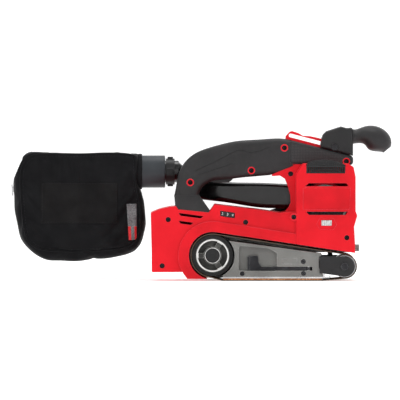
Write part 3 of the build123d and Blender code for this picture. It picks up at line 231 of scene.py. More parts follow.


# ---------------------------------------------------------------- finishes of the model's material slots
finishes = {}
finishes["red_plastic"] = moulded(
    "red_plastic_finish", srgb(184, 8, 22), srgb(208, 12, 28), srgb(220, 18, 34),
    srgb(246, 84, 100), shine=0.16
)
finishes["black_plastic"] = moulded(
    "black_plastic_finish", srgb(17, 17, 18), srgb(24, 24, 25), srgb(32, 31, 32), srgb(76, 75, 77),
    (0.35, 0.5)
)
finishes["drive_rubber"] = moulded(
    "drive_rubber_finish", srgb(13, 13, 13), srgb(19, 19, 19), srgb(26, 25, 24), srgb(48, 47, 45),
    (0.6, 0.8), 900.0
)
finishes["gloss_black"] = moulded(
    "gloss_black_finish", srgb(6, 6, 7), srgb(9, 9, 10), srgb(14, 14, 15), srgb(60, 60, 64),
    (0.14, 0.26), 600.0, 0.00001, shine=0.5
)
finishes["blue_grey"] = moulded(
    "blue_grey_finish", srgb(38, 41, 45), srgb(46, 50, 54), srgb(56, 60, 65), srgb(96, 100, 105),
    (0.4, 0.52)
)
finishes["cast_alu"] = metal(
    "cast_alu_finish", srgb(132, 132, 130), srgb(165, 165, 162), srgb(192, 192, 189), (0.38, 0.55),
    cast=True, edge=srgb(225, 225, 222)
)
finishes["steel"] = metal(
    "steel_finish", srgb(150, 150, 152), srgb(185, 185, 186), srgb(214, 214, 214), (0.2, 0.34),
    (1.0, 1.0, 40.0)
)
finishes["dark_steel"] = metal(
    "dark_steel_finish", srgb(34, 34, 36), srgb(46, 46, 48), srgb(62, 62, 64), (0.34, 0.5),
    edge=srgb(120, 120, 122)
)
finishes["zip_metal"] = metal(
    "zip_metal_finish", srgb(120, 120, 122), srgb(160, 160, 162), srgb(205, 205, 206)
)
finishes["copper"] = metal(
    "copper_finish", srgb(150, 82, 48), srgb(188, 110, 68), srgb(214, 142, 96), (0.3, 0.42)
)


def painted_plate():
    """Satin grey lacquer over pressed metal, lighter along its edges: a painted highlight patchy
    like rubbed wear.
    """
    f = Finish("grey_metal_finish")
    tone = f.ramp(
        f.noise(20.0, 4.0),
        (0.3, srgb(92, 92, 90)),
        (0.5, srgb(106, 106, 103)),
        (0.7, srgb(120, 120, 117)),
    )
    fleck = f.cells(1500.0)
    tone = f.mix(f.spread(fleck, 0.14, 0.0, 0.1, 0.5), tone, srgb(168, 168, 166))
    # painted highlight: edges mixed towards a light grey, broken up by noise like wear
    edge_highlight_and_wear = f.math("MULTIPLY", f.edge(0.0006), f.spread(f.noise(90.0, 3.0), 0.2, 1.0))
    tone = f.mix(edge_highlight_and_wear, tone, srgb(208, 208, 206))
    f.set(
        Base_Color=tone,
        Metallic=0.25,
        Specular_IOR_Level=0.35,
        Roughness=f.spread(f.noise(60.0, 4.0), 0.36, 0.5),
    )
    f.relief(f.noise(1500.0, 3.0, 0.6), 0.00004, 0.5, 0.0004)
    return f.material


def soft_grip():
    """Soft black overmould with raised dots on the shoulder under the rail."""
    f = Finish("black_rubber_finish")
    tone = f.ramp(
        f.noise(16.0, 4.0, 0.55),
        (0.3, srgb(24, 23, 24)),
        (0.5, srgb(31, 30, 31)),
        (0.72, srgb(39, 37, 39)),
    )
    dust = f.spread(f.noise(240.0, 4.0, 0.65), 0.0, 0.18, 0.5, 0.85)
    tone = f.mix(dust, tone, srgb(62, 60, 60))
    # painted highlight: edges mixed towards a lighter grey, broken up by noise like wear
    edge_highlight_and_wear = f.math("MULTIPLY", f.edge(0.0009), f.spread(f.noise(50.0, 3.0), 0.2, 0.7))
    tone = f.mix(edge_highlight_and_wear, tone, srgb(82, 81, 83))
    x, _, z = f.axes()
    slope = f.math("MULTIPLY_ADD", f.math("SUBTRACT", x, 0.0211), -0.2586, 0.1747)
    below = f.math("SUBTRACT", slope, z)
    inside = f.math(
        "MULTIPLY", f.math("GREATER_THAN", below, 0.004), f.math("LESS_THAN", below, 0.031)
    )
    inside = f.math("MULTIPLY", inside, f.math("GREATER_THAN", x, 0.022))
    inside = f.math("MULTIPLY", inside, f.math("LESS_THAN", x, 0.088))
    dots = f.spread(f.cells(520.0, randomness=0.15), 1.0, 0.0, 0.18, 0.42)
    dots = f.math("MULTIPLY", dots, inside)
    tone = f.mix(f.math("MULTIPLY", dots, 0.4), tone, srgb(84, 83, 84))
    f.set(
        Base_Color=tone,
        Roughness=f.spread(f.noise(40.0, 4.0, 0.6), 0.46, 0.62),
        Specular_IOR_Level=0.32,
    )
    height = f.math("MULTIPLY_ADD", dots, 3.0, f.noise(1300.0, 2.0, 0.6))
    f.relief(height, 0.00012, 0.6, 0.0006)
    return f.material


def grit():
    """Abrasive belt: brown mineral grains outside, a dark cloth colour on the cut edge that is
    partly painted shade.
    """
    f = Finish("belt_grit_finish")
    tone = f.ramp(
        f.noise(30.0, 4.0),
        (0.3, srgb(120, 66, 38)),
        (0.5, srgb(150, 88, 54)),
        (0.7, srgb(172, 108, 68)),
    )
    spark = f.spread(f.cells(900.0), 0.55, 0.0, 0.05, 0.4)
    tone = f.mix(spark, tone, srgb(206, 160, 120))
    # painted shade: the belt's side faces take a dark brown-grey, the cloth of the cut edge
    # darkened for the shade of the gap it sits in
    normal = f.add("ShaderNodeNewGeometry").outputs["True Normal"]
    split = f.add("ShaderNodeSeparateXYZ")
    f.link(normal, split.inputs[0])
    side = f.math("GREATER_THAN", f.math("ABSOLUTE", split.outputs[1]), 0.7)
    thread = f.ramp(f.noise(1600.0, 2.0), (0.3, srgb(62, 52, 44)), (0.7, srgb(104, 90, 76)))
    tone = f.mix(side, tone, thread)
    f.set(
        Base_Color=tone, Roughness=f.spread(f.noise(300.0, 2.0), 0.6, 0.9), Specular_IOR_Level=0.3
    )
    f.relief(f.noise(1700.0, 4.0, 0.75), 0.0003, 0.8)
    return f.material


def cork():
    f = Finish("cork_finish")
    cell = f.add("ShaderNodeTexVoronoi")
    cell.inputs["Scale"].default_value = 700.0
    f.link(f.place, cell.inputs["Vector"])
    grey = f.add("ShaderNodeRGBToBW")
    f.link(cell.outputs["Color"], grey.inputs[0])
    tone = f.ramp(
        grey.outputs[0],
        (0.15, srgb(150, 92, 52)),
        (0.5, srgb(182, 120, 76)),
        (0.85, srgb(204, 146, 98)),
    )
    seam = f.spread(cell.outputs["Distance"], 0.0, 0.5, 0.45, 0.75)
    tone = f.mix(seam, tone, srgb(104, 62, 36))
    f.set(Base_Color=tone, Roughness=f.spread(f.noise(200.0), 0.7, 0.9))
    f.relief(cell.outputs["Distance"], 0.0002, 0.7)
    return f.material


def circuit():
    f = Finish("board_finish")
    lines = f.math("LESS_THAN", f.math("FRACT", f.math("MULTIPLY", f.axes()["Z"], 260.0)), 0.28)
    gate = f.math("GREATER_THAN", f.noise(90.0, 1.0), 0.5)
    trace = f.math("MULTIPLY", lines, gate)
    tone = f.ramp(f.noise(40.0, 3.0), (0.35, srgb(14, 66, 36)), (0.65, srgb(24, 92, 50)))
    tone = f.mix(trace, tone, srgb(70, 140, 84))
    f.set(Base_Color=tone, Roughness=f.spread(f.noise(80.0), 0.25, 0.4))
    f.relief(trace, 0.00005, 0.6)
    return f.material


def lens():
    """Silvered lamp window with fine facets behind it."""
    f = Finish("lens_finish")
    bars = f.math("LESS_THAN", f.math("FRACT", f.math("MULTIPLY", f.axes()["X"], 420.0)), 0.3)
    tone = f.ramp(f.noise(260.0, 3.0), (0.3, srgb(166, 168, 166)), (0.7, srgb(226, 228, 224)))
    tone = f.mix(f.math("MULTIPLY", bars, 0.6), tone, srgb(118, 120, 120))
    f.set(Base_Color=tone, Metallic=0.5, Roughness=f.spread(f.noise(120.0), 0.12, 0.24))
    f.relief(bars, 0.0002, 0.5)
    return f.material


WAVE_TURN = 6.283


def woven(name, low, mid, high, thread=1900.0, rough=(0.72, 0.88)):
    """Plain-weave nylon: two crossed thread directions, cloudy tone, lint."""
    f = Finish(name)
    weave = f.math("MULTIPLY", f.wave(thread / WAVE_TURN, "X"), f.wave(thread / WAVE_TURN, "Z"))
    tone = f.ramp(f.noise(22.0, 5.0, 0.6), (0.28, low), (0.5, mid), (0.75, high))
    tone = f.mix(f.spread(weave, 0.0, 0.4, 0.2, 0.9), tone, high)
    lint = f.spread(f.noise(700.0, 4.0, 0.8), 0.0, 0.3, 0.66, 0.85)
    tone = f.mix(lint, tone, tuple(min(1.0, 2.2 * v) for v in high))
    f.set(
        Base_Color=tone,
        Roughness=f.spread(f.noise(60.0, 3.0), rough[0], rough[1]),
        Sheen_Weight=0.04,
        Sheen_Roughness=0.4,
        Specular_IOR_Level=0.14,
    )
    f.relief(f.math("MULTIPLY_ADD", weave, 0.6, f.noise(90.0, 4.0, 0.6)), 0.00025, 0.55)
    return f.material


def label_cloth():
    """Woven label: grey ground, plain red borders on its lower part, no lettering."""
    f = Finish("tag_cloth_finish")
    x, _, z = f.axes()
    ground = f.ramp(f.noise(900.0, 3.0, 0.7), (0.35, srgb(58, 58, 60)), (0.65, srgb(140, 140, 142)))
    rows = f.math("LESS_THAN", f.math("FRACT", f.math("MULTIPLY", z, 900.0)), 0.5)
    ground = f.mix(f.math("MULTIPLY", rows, 0.35), ground, srgb(60, 60, 62))
    middle = f.math("MULTIPLY_ADD", z, -0.045, -0.1706)
    side = f.math("GREATER_THAN", f.math("ABSOLUTE", f.math("SUBTRACT", x, middle)), 0.0021)
    low = f.math("LESS_THAN", z, 0.066)
    red = f.ramp(f.noise(800.0, 2.0), (0.3, srgb(170, 16, 22)), (0.7, srgb(216, 30, 36)))
    tone = f.mix(f.math("MULTIPLY", side, low), ground, red)
    f.set(Base_Color=tone, Roughness=f.spread(f.noise(200.0), 0.6, 0.8), Sheen_Weight=0.1)
    f.relief(f.noise(1500.0, 2.0), 0.0002, 0.7)
    return f.material


finishes["grey_metal"] = painted_plate()
finishes["black_rubber"] = soft_grip()
finishes["belt_grit"] = grit()
finishes["cork"] = cork()
finishes["board"] = circuit()
finishes["lens"] = lens()
finishes["nylon"] = woven("nylon_finish", srgb(8, 8, 10), srgb(12, 12, 14), srgb(20, 20, 22))
finishes["tag_cloth"] = label_cloth()
thread_finish = woven("thread_finish", srgb(24, 24, 27), srgb(32, 32, 35), srgb(44, 44, 47), 3000.0)
patch_finish = woven("patch_finish", srgb(10, 10, 11), srgb(16, 15, 16), srgb(25, 24, 24), 2600.0)
# painted shade: a rubber darker than the grip, for the crease lines
crease_shade_finish = moulded(
    "crease_shade_finish", srgb(14, 14, 14), srgb(19, 18, 19), srgb(26, 25, 26), srgb(36, 35, 36),
    (0.6, 0.75)
)
digit_finish = moulded(
    "digit_finish", srgb(200, 200, 198), srgb(224, 224, 222), srgb(238, 238, 236),
    srgb(246, 246, 244), (0.4, 0.5)
)


def spoked_hub():
    """Dark cast hub with two machined rings, worked out from the distance to its axle."""
    f = Finish("drum_hub_finish")
    low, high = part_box("drum_hub")
    x, y, z = f.axes()
    dx = f.math("SUBTRACT", x, (low.x + high.x) / 2)
    dz = f.math("SUBTRACT", z, (low.z + high.z) / 2)
    away = f.math("SQRT", f.math("ADD", f.math("MULTIPLY", dx, dx), f.math("MULTIPLY", dz, dz)))
    bright = 0.0
    for middle, half in ((0.0188, 0.0014), (0.0086, 0.0011)):
        near = f.math("LESS_THAN", f.math("ABSOLUTE", f.math("SUBTRACT", away, middle)), half)
        bright = f.math("MAXIMUM", bright, near)
    face = f.math("LESS_THAN", y, low.y + 0.0025)
    bright = f.math("MULTIPLY", bright, face)
    dark = f.ramp(
        f.noise(60.0, 3.0),
        (0.3, srgb(44, 44, 43)),
        (0.5, srgb(60, 60, 58)),
        (0.7, srgb(80, 80, 77)),
    )
    # painted highlight: the hub's edges are lightened
    dark = f.mix(f.edge(0.0008), dark, srgb(150, 150, 146))
    shine = f.ramp(f.noise(120.0, 3.0), (0.3, srgb(186, 186, 184)), (0.7, srgb(222, 222, 220)))
    f.set(
        Base_Color=f.mix(bright, dark, shine),
        Metallic=0.75,
        Roughness=f.spread(f.noise(90.0, 3.0), 0.3, 0.45),
    )
    f.relief(f.noise(1300.0, 3.0), 0.00006, 0.5, 0.0004)
    return f.material


slot_of = {name: o.data.materials[0].name.split(".")[0] for name, o in nodes.items()}
for name, o in nodes.items():
    for slot in o.material_slots:
        slot.material = finishes[slot_of[name]]
for slot in nodes["drum_hub"].material_slots:
    slot.material = spoked_hub()
# painted shade: the housing and side plate screws sit deep in their holes, and their dark steel
# stands for the shade there; the lever, nut, bolt and axle take the same dark steel
for name in (
    "housing_screws", "side_plate_screws", "tension_lever", "axle_nut", "clamp_bolt", "front_axle"
):
    for slot in nodes[name].material_slots:
        slot.material = finishes["dark_steel"]


# ---------------------------------------------------------------- mesh helpers
def make(name, verts, faces, finish, body, slot, smooth=True):
    mesh = bpy.data.meshes.new(name)
    mesh.from_pydata([tuple(v) for v in verts], [], faces)
    bm = bmesh.new()
    bm.from_mesh(mesh)
    bmesh.ops.recalc_face_normals(bm, faces=bm.faces)
    bm.to_mesh(mesh)
    bm.free()
    if smooth:
        mesh.shade_smooth()
    mesh.materials.append(finish)
    piece = bpy.data.objects.new(name, mesh)
    bpy.context.scene.collection.objects.link(piece)
    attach(piece, body)
    return piece


def smooth_line(points, per_span=8, closed=False):
    """Catmull-Rom line through the points."""
    pts = [np.array(p, float) for p in points]
    n = len(pts)
    out = []
    for i in range(n if closed else n - 1):
        a = pts[(i - 1) % n] if closed or i > 0 else pts[0]
        b, c = pts[i], pts[(i + 1) % n]
        d = pts[(i + 2) % n] if closed or i + 2 < n else pts[-1]
        for k in range(per_span):
            t = k / per_span
            bend = (2 * a - 5 * b + 4 * c - d) * t * t
            twist = (3 * b - a - 3 * c + d) * t**3
            out.append(0.5 * (2 * b + (c - a) * t + bend + twist))
    if not closed:
        out.append(pts[-1])
    return out


def even(points, count, closed=True):
    """The same line as count points at even steps."""
    line = [np.array(p, float) for p in points]
    if closed:
        line.append(line[0])
    line = np.array(line)
    run = np.concatenate([[0], np.cumsum(np.linalg.norm(np.diff(line, axis=0), axis=1))])
    marks = np.linspace(0, run[-1], count, endpoint=not closed)
    return np.stack([np.interp(marks, run, line[:, k]) for k in range(line.shape[1])], 1)


def tube_mesh(points, radius, closed, sides=8):
    """Vertices and faces of a round tube along the points."""
    pts = np.array(points, float)
    n = len(pts)
    ahead = np.roll(pts, -1, 0) - np.roll(pts, 1, 0)
    if not closed:
        ahead[0] = pts[1] - pts[0]
        ahead[-1] = pts[-1] - pts[-2]
    verts, faces = [], []
    up = np.array([0.0, 1.0, 0.0])
    for p, t in zip(pts, ahead):
        t = t / max(np.linalg.norm(t), 1e-12)
        side = np.cross(t, up if abs(t @ up) < 0.9 else np.array([0.0, 0.0, 1.0]))
        side /= np.linalg.norm(side)
        top = np.cross(side, t)
        for k in range(sides):
            a = 2 * math.pi * k / sides
            verts.append(p + radius * (math.cos(a) * side + math.sin(a) * top))
    for i in range(n if closed else n - 1):
        j = (i + 1) % n
        for k in range(sides):
            m = (k + 1) % sides
            faces.append((i * sides + k, i * sides + m, j * sides + m, j * sides + k))
    if not closed:
        faces.append(tuple(range(sides)))
        faces.append(tuple((n - 1) * sides + k for k in range(sides)))
    return verts, faces


def joined(parts):
    """The vertices and faces of several meshes as one."""
    verts, faces = [], []
    for v, f in parts:
        base = len(verts)
        verts.extend(v)
        faces.extend(tuple(base + i for i in face) for face in f)
    return verts, faces


def ring_faces(rows, around):
    """Faces between rows of vertices that each run once round."""
    return [
        (
            s * around + k,
            s * around + (k + 1) % around,
            (s + 1) * around + (k + 1) % around,
            (s + 1) * around + k,
        )
        for s in range(rows - 1)
        for k in range(around)
    ]


def surface_of(mesh):
    """The mesh as a tree that lines can be cast at."""
    return BVHTree.FromPolygons(
        [v.co.copy() for v in mesh.vertices], [tuple(p.vertices) for p in mesh.polygons]
    )


RAY_START = 0.2


def hit_y(tree, x, z, side):
    """Where a line along Y at (x, z), in metres, first meets the surface from that side."""
    start = Vector((x, side * RAY_START, z))
    found = tree.ray_cast(start, Vector((0, -side, 0)), 2 * RAY_START)
    return None if found[0] is None else found[0].y


# ---------------------------------------------------------------- dust bag
# Lengths from here on are in millimetres where they are multiplied by MM.
BAG_Y = 60.0
BAG_CENTRE = np.array((-240.0, 96.0))
BAG_AROUND = 168
SEAM_HALF = 25.0
HUB_BULGE = 3.4
PORT = (52.0, 134.2)
bag_side = [
    (-165.5, 156.0), (-172.0, 157.4), (-186.0, 159.2), (-210.0, 160.4), (-238.0, 159.8),
    (-264.5, 160.0), (-286.0, 160.2), (-302.0, 158.8), (-310.5, 153.5), (-316.5, 144.0),
    (-319.8, 128.0), (-319.6, 98.0), (-317.6, 78.0), (-314.2, 59.0), (-307.8, 44.6),
    (-297.0, 33.0), (-282.0, 26.8), (-264.0, 24.9), (-246.4, 24.6), (-226.0, 25.8),
    (-204.0, 28.0), (-184.0, 31.4), (-171.0, 37.0), (-163.6, 47.0), (-160.4, 62.0),
    (-159.4, 80.0), (-160.2, 98.0), (-163.4, 112.0), (-165.8, 124.0), (-165.0, 142.0),
]
bag_panel = [
    (-170.5, 152.5), (-176.0, 154.6), (-188.0, 156.0), (-210.0, 156.2), (-238.0, 155.2),
    (-264.0, 155.6), (-284.0, 155.6), (-297.0, 154.0), (-306.0, 148.6), (-311.6, 138.0),
    (-313.0, 122.0), (-311.8, 98.0), (-310.2, 78.0), (-307.6, 60.0), (-302.6, 47.4),
    (-293.0, 39.4), (-280.0, 36.4), (-262.0, 35.4), (-244.0, 35.2), (-224.0, 35.8),
    (-204.0, 37.2), (-187.0, 39.4), (-175.6, 43.4), (-168.6, 51.0), (-165.2, 64.0),
    (-164.2, 80.0), (-165.2, 96.0), (-168.2, 110.0), (-170.2, 124.0), (-169.8, 140.0),
]
side_line = even(smooth_line(bag_side, 8, True), BAG_AROUND)
panel_line = even(smooth_line(bag_panel, 8, True), BAG_AROUND)
shift = int(np.argmin(np.linalg.norm(panel_line - side_line[0], axis=1)))
panel_line = np.roll(panel_line, -shift, 0)

# Folds on a side panel: start, end, width, depth. They gather at the tube and sag across the
# corners.
folds = [
    ((-168, 120), (-226, 148), 4.5, 2.2),
    ((-169, 116), (-214, 112), 4.0, -2.4),
    ((-168, 112), (-206, 86), 4.5, 2.6),
    ((-168, 108), (-190, 62), 4.0, -2.0),
    ((-172, 128), (-198, 154), 4.0, -1.8),
    ((-184, 150), (-246, 140), 6.0, 1.5),
    ((-308, 142), (-256, 150), 6.0, -1.6),
    ((-310, 132), (-276, 104), 7.0, 1.5),
    ((-308, 74), (-268, 58), 7.0, 1.4),
    ((-300, 46), (-262, 66), 6.0, -1.5),
    ((-282, 40), (-216, 44), 5.0, -1.2),
    ((-216, 40), (-182, 58), 6.0, 1.4),
    ((-246, 62), (-202, 54), 7.0, 1.1),
    ((-296, 118), (-300, 66), 6.0, -1.1),
]


def fold_depth(x, z, mirrored):
    total = 0.0
    for (x0, z0), (x1, z1), width, depth in folds:
        if mirrored:
            z0, z1, depth = z0 * 0.94 + 7.0, z1 * 0.94 + 4.0, -depth * 0.9
        a, b = np.array((x0, z0), float), np.array((x1, z1), float)
        d = b - a
        t = float(np.clip(((x - a[0]) * d[0] + (z - a[1]) * d[1]) / (d @ d), 0, 1))
        bow = 4.0 * math.sin(math.pi * t) * (1 if depth > 0 else -1)
        near = a + d * t + np.array((-d[1], d[0])) / np.linalg.norm(d) * bow
        away = math.hypot(x - near[0], z - near[1])
        spread = width * (0.6 + 0.9 * t)
        total += depth * (1.0 - 0.55 * t) * math.exp(-((away / spread) ** 2))
    return total


BULGE_START, BULGE_LENGTH = -222.0, 46.0
BULGE_HEIGHT, BULGE_Z, BULGE_WIDTH = 7.2, 134.0, 21.0


def tube_bulge(x, z):
    """How far the front of the bag swells, in millimetres, where the tube goes in."""
    along = float(np.clip((x - BULGE_START) / BULGE_LENGTH, 0.0, 1.0))
    along = along * along * (3 - 2 * along)
    return BULGE_HEIGHT * math.exp(-(((z - BULGE_Z) / BULGE_WIDTH) ** 2)) * along


PANEL_RINGS = 26
GUSSET_RINGS = 15
rings = [("front", (k + 1) / PANEL_RINGS) for k in range(PANEL_RINGS)]
rings += [("gusset", k / GUSSET_RINGS) for k in range(1, GUSSET_RINGS)]
rings += [("back", 1 - k / PANEL_RINGS) for k in range(PANEL_RINGS)]
bag_verts = []
for kind, share in rings:
    for i in range(BAG_AROUND):
        if kind == "gusset":
            turn = math.pi * share
            out = math.sin(turn) ** 0.75
            p = panel_line[i] * (1 - out) + side_line[i] * out
            run = 2 * math.pi * i / BAG_AROUND
            dent = 0.9 * math.sin(9 * run + 1.3) * math.sin(5 * run) * math.sin(turn)
            bulge = tube_bulge(*p) * max(0.0, math.cos(turn)) ** 0.6
            y = BAG_Y - SEAM_HALF * math.cos(turn) * 0.995 - bulge
            p = p + (BAG_CENTRE - p) / np.linalg.norm(BAG_CENTRE - p) * (0.7 + dent)
        else:
            p = BAG_CENTRE + (panel_line[i] - BAG_CENTRE) * share
            crown = 4.2 * (1 - share**2.6)
            edge_pull = 1.6 * math.exp(-(((1 - share) / 0.05) ** 2))
            fade = min(1.0, (1 - share) / 0.06)
            fold = fold_depth(p[0], p[1], kind == "back") * fade
            half = SEAM_HALF + crown - edge_pull * 0.5 - 0.8 + fold * 0.85
            if kind == "front":
                half += tube_bulge(*p)
            y = BAG_Y - half if kind == "front" else BAG_Y + half
        bag_verts.append((p[0] * MM, y * MM, p[1] * MM))
front_hub = len(bag_verts)
for y in (BAG_Y - SEAM_HALF - HUB_BULGE, BAG_Y + SEAM_HALF + HUB_BULGE):
    bag_verts.append((BAG_CENTRE[0] * MM, y * MM, BAG_CENTRE[1] * MM))
bag_faces = ring_faces(len(rings), BAG_AROUND)
last = (len(rings) - 1) * BAG_AROUND
for i in range(BAG_AROUND):
    j = (i + 1) % BAG_AROUND
    bag_faces.append((front_hub, j, i))
    bag_faces.append((front_hub + 1, last + i, last + j))

bag = make("bag_shell", bag_verts, bag_faces, finishes["nylon"], "bag", "nylon")
seam_rings = (PANEL_RINGS - 1, PANEL_RINGS + GUSSET_RINGS - 1)


def drape(piece, held, frames=18, cap=3.2 * MM):
    """Lets fabric cut a little too long settle from its sewn edges, within cap of its pattern."""
    before = np.array([v.co for v in piece.data.vertices])
    group = piece.vertex_groups.new(name="sewn")
    for index, weight in held.items():
        group.add([index], weight, "REPLACE")
    cloth = piece.modifiers.new("drape", "CLOTH")
    cloth.settings.quality = 5
    cloth.settings.mass = 0.25
    cloth.settings.tension_stiffness = 20
    cloth.settings.compression_stiffness = 20
    cloth.settings.bending_stiffness = 0.4
    cloth.settings.vertex_group_mass = "sewn"
    cloth.settings.shrink_min = -0.035
    cloth.settings.use_pressure = True
    cloth.settings.uniform_pressure_force = 0.6
    cloth.settings.effector_weights.gravity = 0.25
    cloth.point_cache.frame_start = 1
    cloth.point_cache.frame_end = frames
    scene = bpy.context.scene
    for f in range(1, frames + 1):
        scene.frame_set(f)
    shape = piece.evaluated_get(bpy.context.evaluated_depsgraph_get())
    after = np.array([v.co for v in shape.data.vertices])
    piece.modifiers.remove(cloth)
    scene.frame_set(1)
    step = after - before
    size = np.linalg.norm(step, axis=1, keepdims=True)
    step *= np.minimum(1.0, cap / np.maximum(size, 1e-9))
    if not np.isfinite(step).all():
        step[:] = 0
    piece.data.vertices.foreach_set("co", (before + step).astype(np.float32).ravel())
    piece.data.update()


# The seams and the fabric round the tube are held; the rest is nearly free.
HELD_RADIUS, HELD_FROM_X, FREE_WEIGHT = 26, -176, 0.02
held = {}
for r in range(len(rings)):
    for i in range(BAG_AROUND):
        index = r * BAG_AROUND + i
        x, y, z = bag_verts[index]
        away = math.hypot(y - PORT[0] * MM, z - PORT[1] * MM)
        near_tube = away < HELD_RADIUS * MM and x > HELD_FROM_X * MM
        held[index] = 1.0 if r in seam_rings or near_tube else FREE_WEIGHT
drape(bag, held)

bag_tree = surface_of(bag.data)


def ring_points(r, lift=0.0):
    pts = [np.array(bag.data.vertices[r * BAG_AROUND + i].co) for i in range(BAG_AROUND)]
    centre = np.array((BAG_CENTRE[0] * MM, BAG_Y * MM, BAG_CENTRE[1] * MM))
    return [p + (p - centre) / np.linalg.norm(p - centre) * lift for p in pts]


piping = joined(
    [tube_mesh(smooth_line(ring_points(r, 0.5 * MM), 2, True), 1.05 * MM, True) for r in seam_rings]
)
make("bag_piping", *piping, finishes["nylon"], "bag", "nylon")


def stitch_row(points, closed=True, long=2.3, gap=1.6, radius=0.28):
    """Short thread dashes along a line of points, in metres."""
    line = np.array(points, float)
    if closed:
        line = np.vstack([line, line[:1]])
    run = np.concatenate([[0], np.cumsum(np.linalg.norm(np.diff(line, axis=0), axis=1))])
    count = int(run[-1] / ((long + gap) * MM))
    step = run[-1] / count
    parts = []
    for k in range(count):
        marks = np.linspace(k * step, k * step + long * MM, 4)
        dash = np.stack([np.interp(marks, run, line[:, a]) for a in range(3)], 1)
        parts.append(tube_mesh(dash, radius * MM, False, 5))
    return joined(parts)


def on_bag(x, z, side, lift):
    """A point on the side panel at (x, z) in millimetres, lifted outwards by lift millimetres."""
    y = hit_y(bag_tree, x * MM, z * MM, side)
    if y is None:
        y = (BAG_Y + side * SEAM_HALF) * MM
    return np.array((x * MM, y + side * lift * MM, z * MM))


rows = []
for side in (-1, 1):
    inset = BAG_CENTRE + (panel_line - BAG_CENTRE) * 0.965
    rows.append(stitch_row([on_bag(x, z, side, 0.1) for x, z in inset]))
make("bag_stitches", *joined(rows), thread_finish, "bag", "nylon")


def cloth_patch(corners, across, up, lift, thick):
    """A thin cloth rectangle laid on the front panel, its four corners given in millimetres."""
    a, b, c, d = (np.array(p, float) for p in corners)
    outer, inner = [], []
    for j in range(up + 1):
        for i in range(across + 1):
            s, t = i / across, j / up
            x, z = (a * (1 - s) + b * s) * (1 - t) + (d * (1 - s) + c * s) * t
            rim = min(s, 1 - s, t, 1 - t)
            swell = lift * (1.0 if rim > 0 else 0.55)
            outer.append(on_bag(x, z, -1, swell + thick))
            inner.append(on_bag(x, z, -1, swell))
    count = len(outer)
    wide = across + 1
    faces = []
    for j in range(up):
        for i in range(across):
            q = (j * wide + i, j * wide + i + 1, (j + 1) * wide + i + 1, (j + 1) * wide + i)
            faces.append(q)
            faces.append(tuple(count + k for k in reversed(q)))
    border = [(0, i) for i in range(across)] + [(j, across) for j in range(up)]
    border += [(up, across - i) for i in range(across)] + [(up - j, 0) for j in range(up)]
    border = [j * wide + i for j, i in border]
    for k, index in enumerate(border):
        following = border[(k + 1) % len(border)]
        faces.append((index, following, count + following, count + index))
    return outer + inner, faces


def patch_corners(inset=0.0):
    x0, x1, z0, z1 = -288 + inset, -192 - inset, 69.5 + inset, 121 - inset
    return [(x0, z0), (x1, z0), (x1, z1), (x0, z1)]


make("bag_patch", *cloth_patch(patch_corners(), 44, 26, 0.15, 0.35), patch_finish, "bag", "nylon")
STITCH_INSET = 1.8
POINTS_PER_EDGE = 24
corners = [np.array(p, float) for p in patch_corners(STITCH_INSET)]
edge_line = []
for p, q in zip(corners, corners[1:] + corners[:1]):
    for s in np.linspace(0, 1, POINTS_PER_EDGE, endpoint=False):
        edge_line.append(on_bag(*(p * (1 - s) + q * s), -1, 0.62))
make("patch_stitches", *stitch_row(edge_line, True, 2.0, 1.4, 0.22), thread_finish, "bag", "nylon")

tag_corners = [(-178.2, 48.9), (-168.2, 49.3), (-168.6, 94.2), (-180.9, 94.0)]
tag = make(
    "woven_tag",
    *cloth_patch(tag_corners, 8, 26, 0.35, 0.45),
    finishes["tag_cloth"],
    "bag",
    "tag_cloth",
)
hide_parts("bag_tag")
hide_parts("dust_bag")
tag_ends = []
for z in (91.8, 51.4):
    tag_ends.append(
        stitch_row(
            [on_bag(x, z, -1, 0.95) for x in np.linspace(-179.0, -169.6, 10)], False, 1.6, 1.0, 0.2
        )
    )
make("tag_stitches", *joined(tag_ends), thread_finish, "bag", "nylon")

# elastic hem where the bag grips the tube
hem_line = [
    (-171.5, 18.4), (-169.0, 20.3), (-166.8, 21.5), (-164.6, 22.0), (-162.8, 21.9),
    (-161.6, 21.3), (-161.9, 20.7),
]
HEM_AROUND = 72
hem_verts = []
for x, r in hem_line:
    for k in range(HEM_AROUND):
        a = 2 * math.pi * k / HEM_AROUND
        pucker = 0.35 * math.cos(24 * a) * (1 if r > 20.8 else 0.3)
        rr = (r + pucker) * MM
        hem_verts.append((x * MM, PORT[0] * MM + rr * math.cos(a), PORT[1] * MM + rr * math.sin(a)))
hem = make(
    "bag_hem", hem_verts, ring_faces(len(hem_line), HEM_AROUND), finishes["nylon"], "bag", "nylon"
)
hem_thick = hem.modifiers.new("thickness", "SOLIDIFY")
hem_thick.thickness = 0.0006
bag_thick = bag.modifiers.new("thickness", "SOLIDIFY")
bag_thick.thickness = 0.0009
bag_thick.offset = -1
finer = bag.modifiers.new("finer", "SUBSURF")
finer.levels = finer.render_levels = 1

# zip teeth along the rear gusset, on the tape's own surface
TEETH = 44
TAPE_END = 3 * MM
BOX_FACES = [(0, 1, 3, 2), (4, 6, 7, 5), (0, 4, 5, 1), (2, 3, 7, 6), (0, 2, 6, 4), (1, 5, 7, 3)]
tape_low, tape_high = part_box("zip_tape")
teeth = []
tape_tree = surface_of(nodes["zip_tape"].data)
for k in range(TEETH):
    z = tape_low.z + TAPE_END + k * (tape_high.z - tape_low.z - 2 * TAPE_END) / (TEETH - 1)
    found = tape_tree.ray_cast(Vector((-0.4, BAG_Y * MM, z)), Vector((1, 0, 0)), 0.3)
    if found[0] is None:
        continue
    x = found[0].x
    y0 = BAG_Y * MM + (0.55 if k % 2 else -0.55) * MM
    dx, dy, dz = 0.45 * MM, 1.25 * MM, 0.36 * MM
    corner = [
        (x + sx * dx, y0 + sy * dy, z + sz * dz)
        for sx in (-1, 1)
        for sy in (-1, 1)
        for sz in (-1, 1)
    ]
    teeth.append((corner, BOX_FACES))
make("zip_teeth", *joined(teeth), finishes["black_plastic"], "bag", "nylon", False)

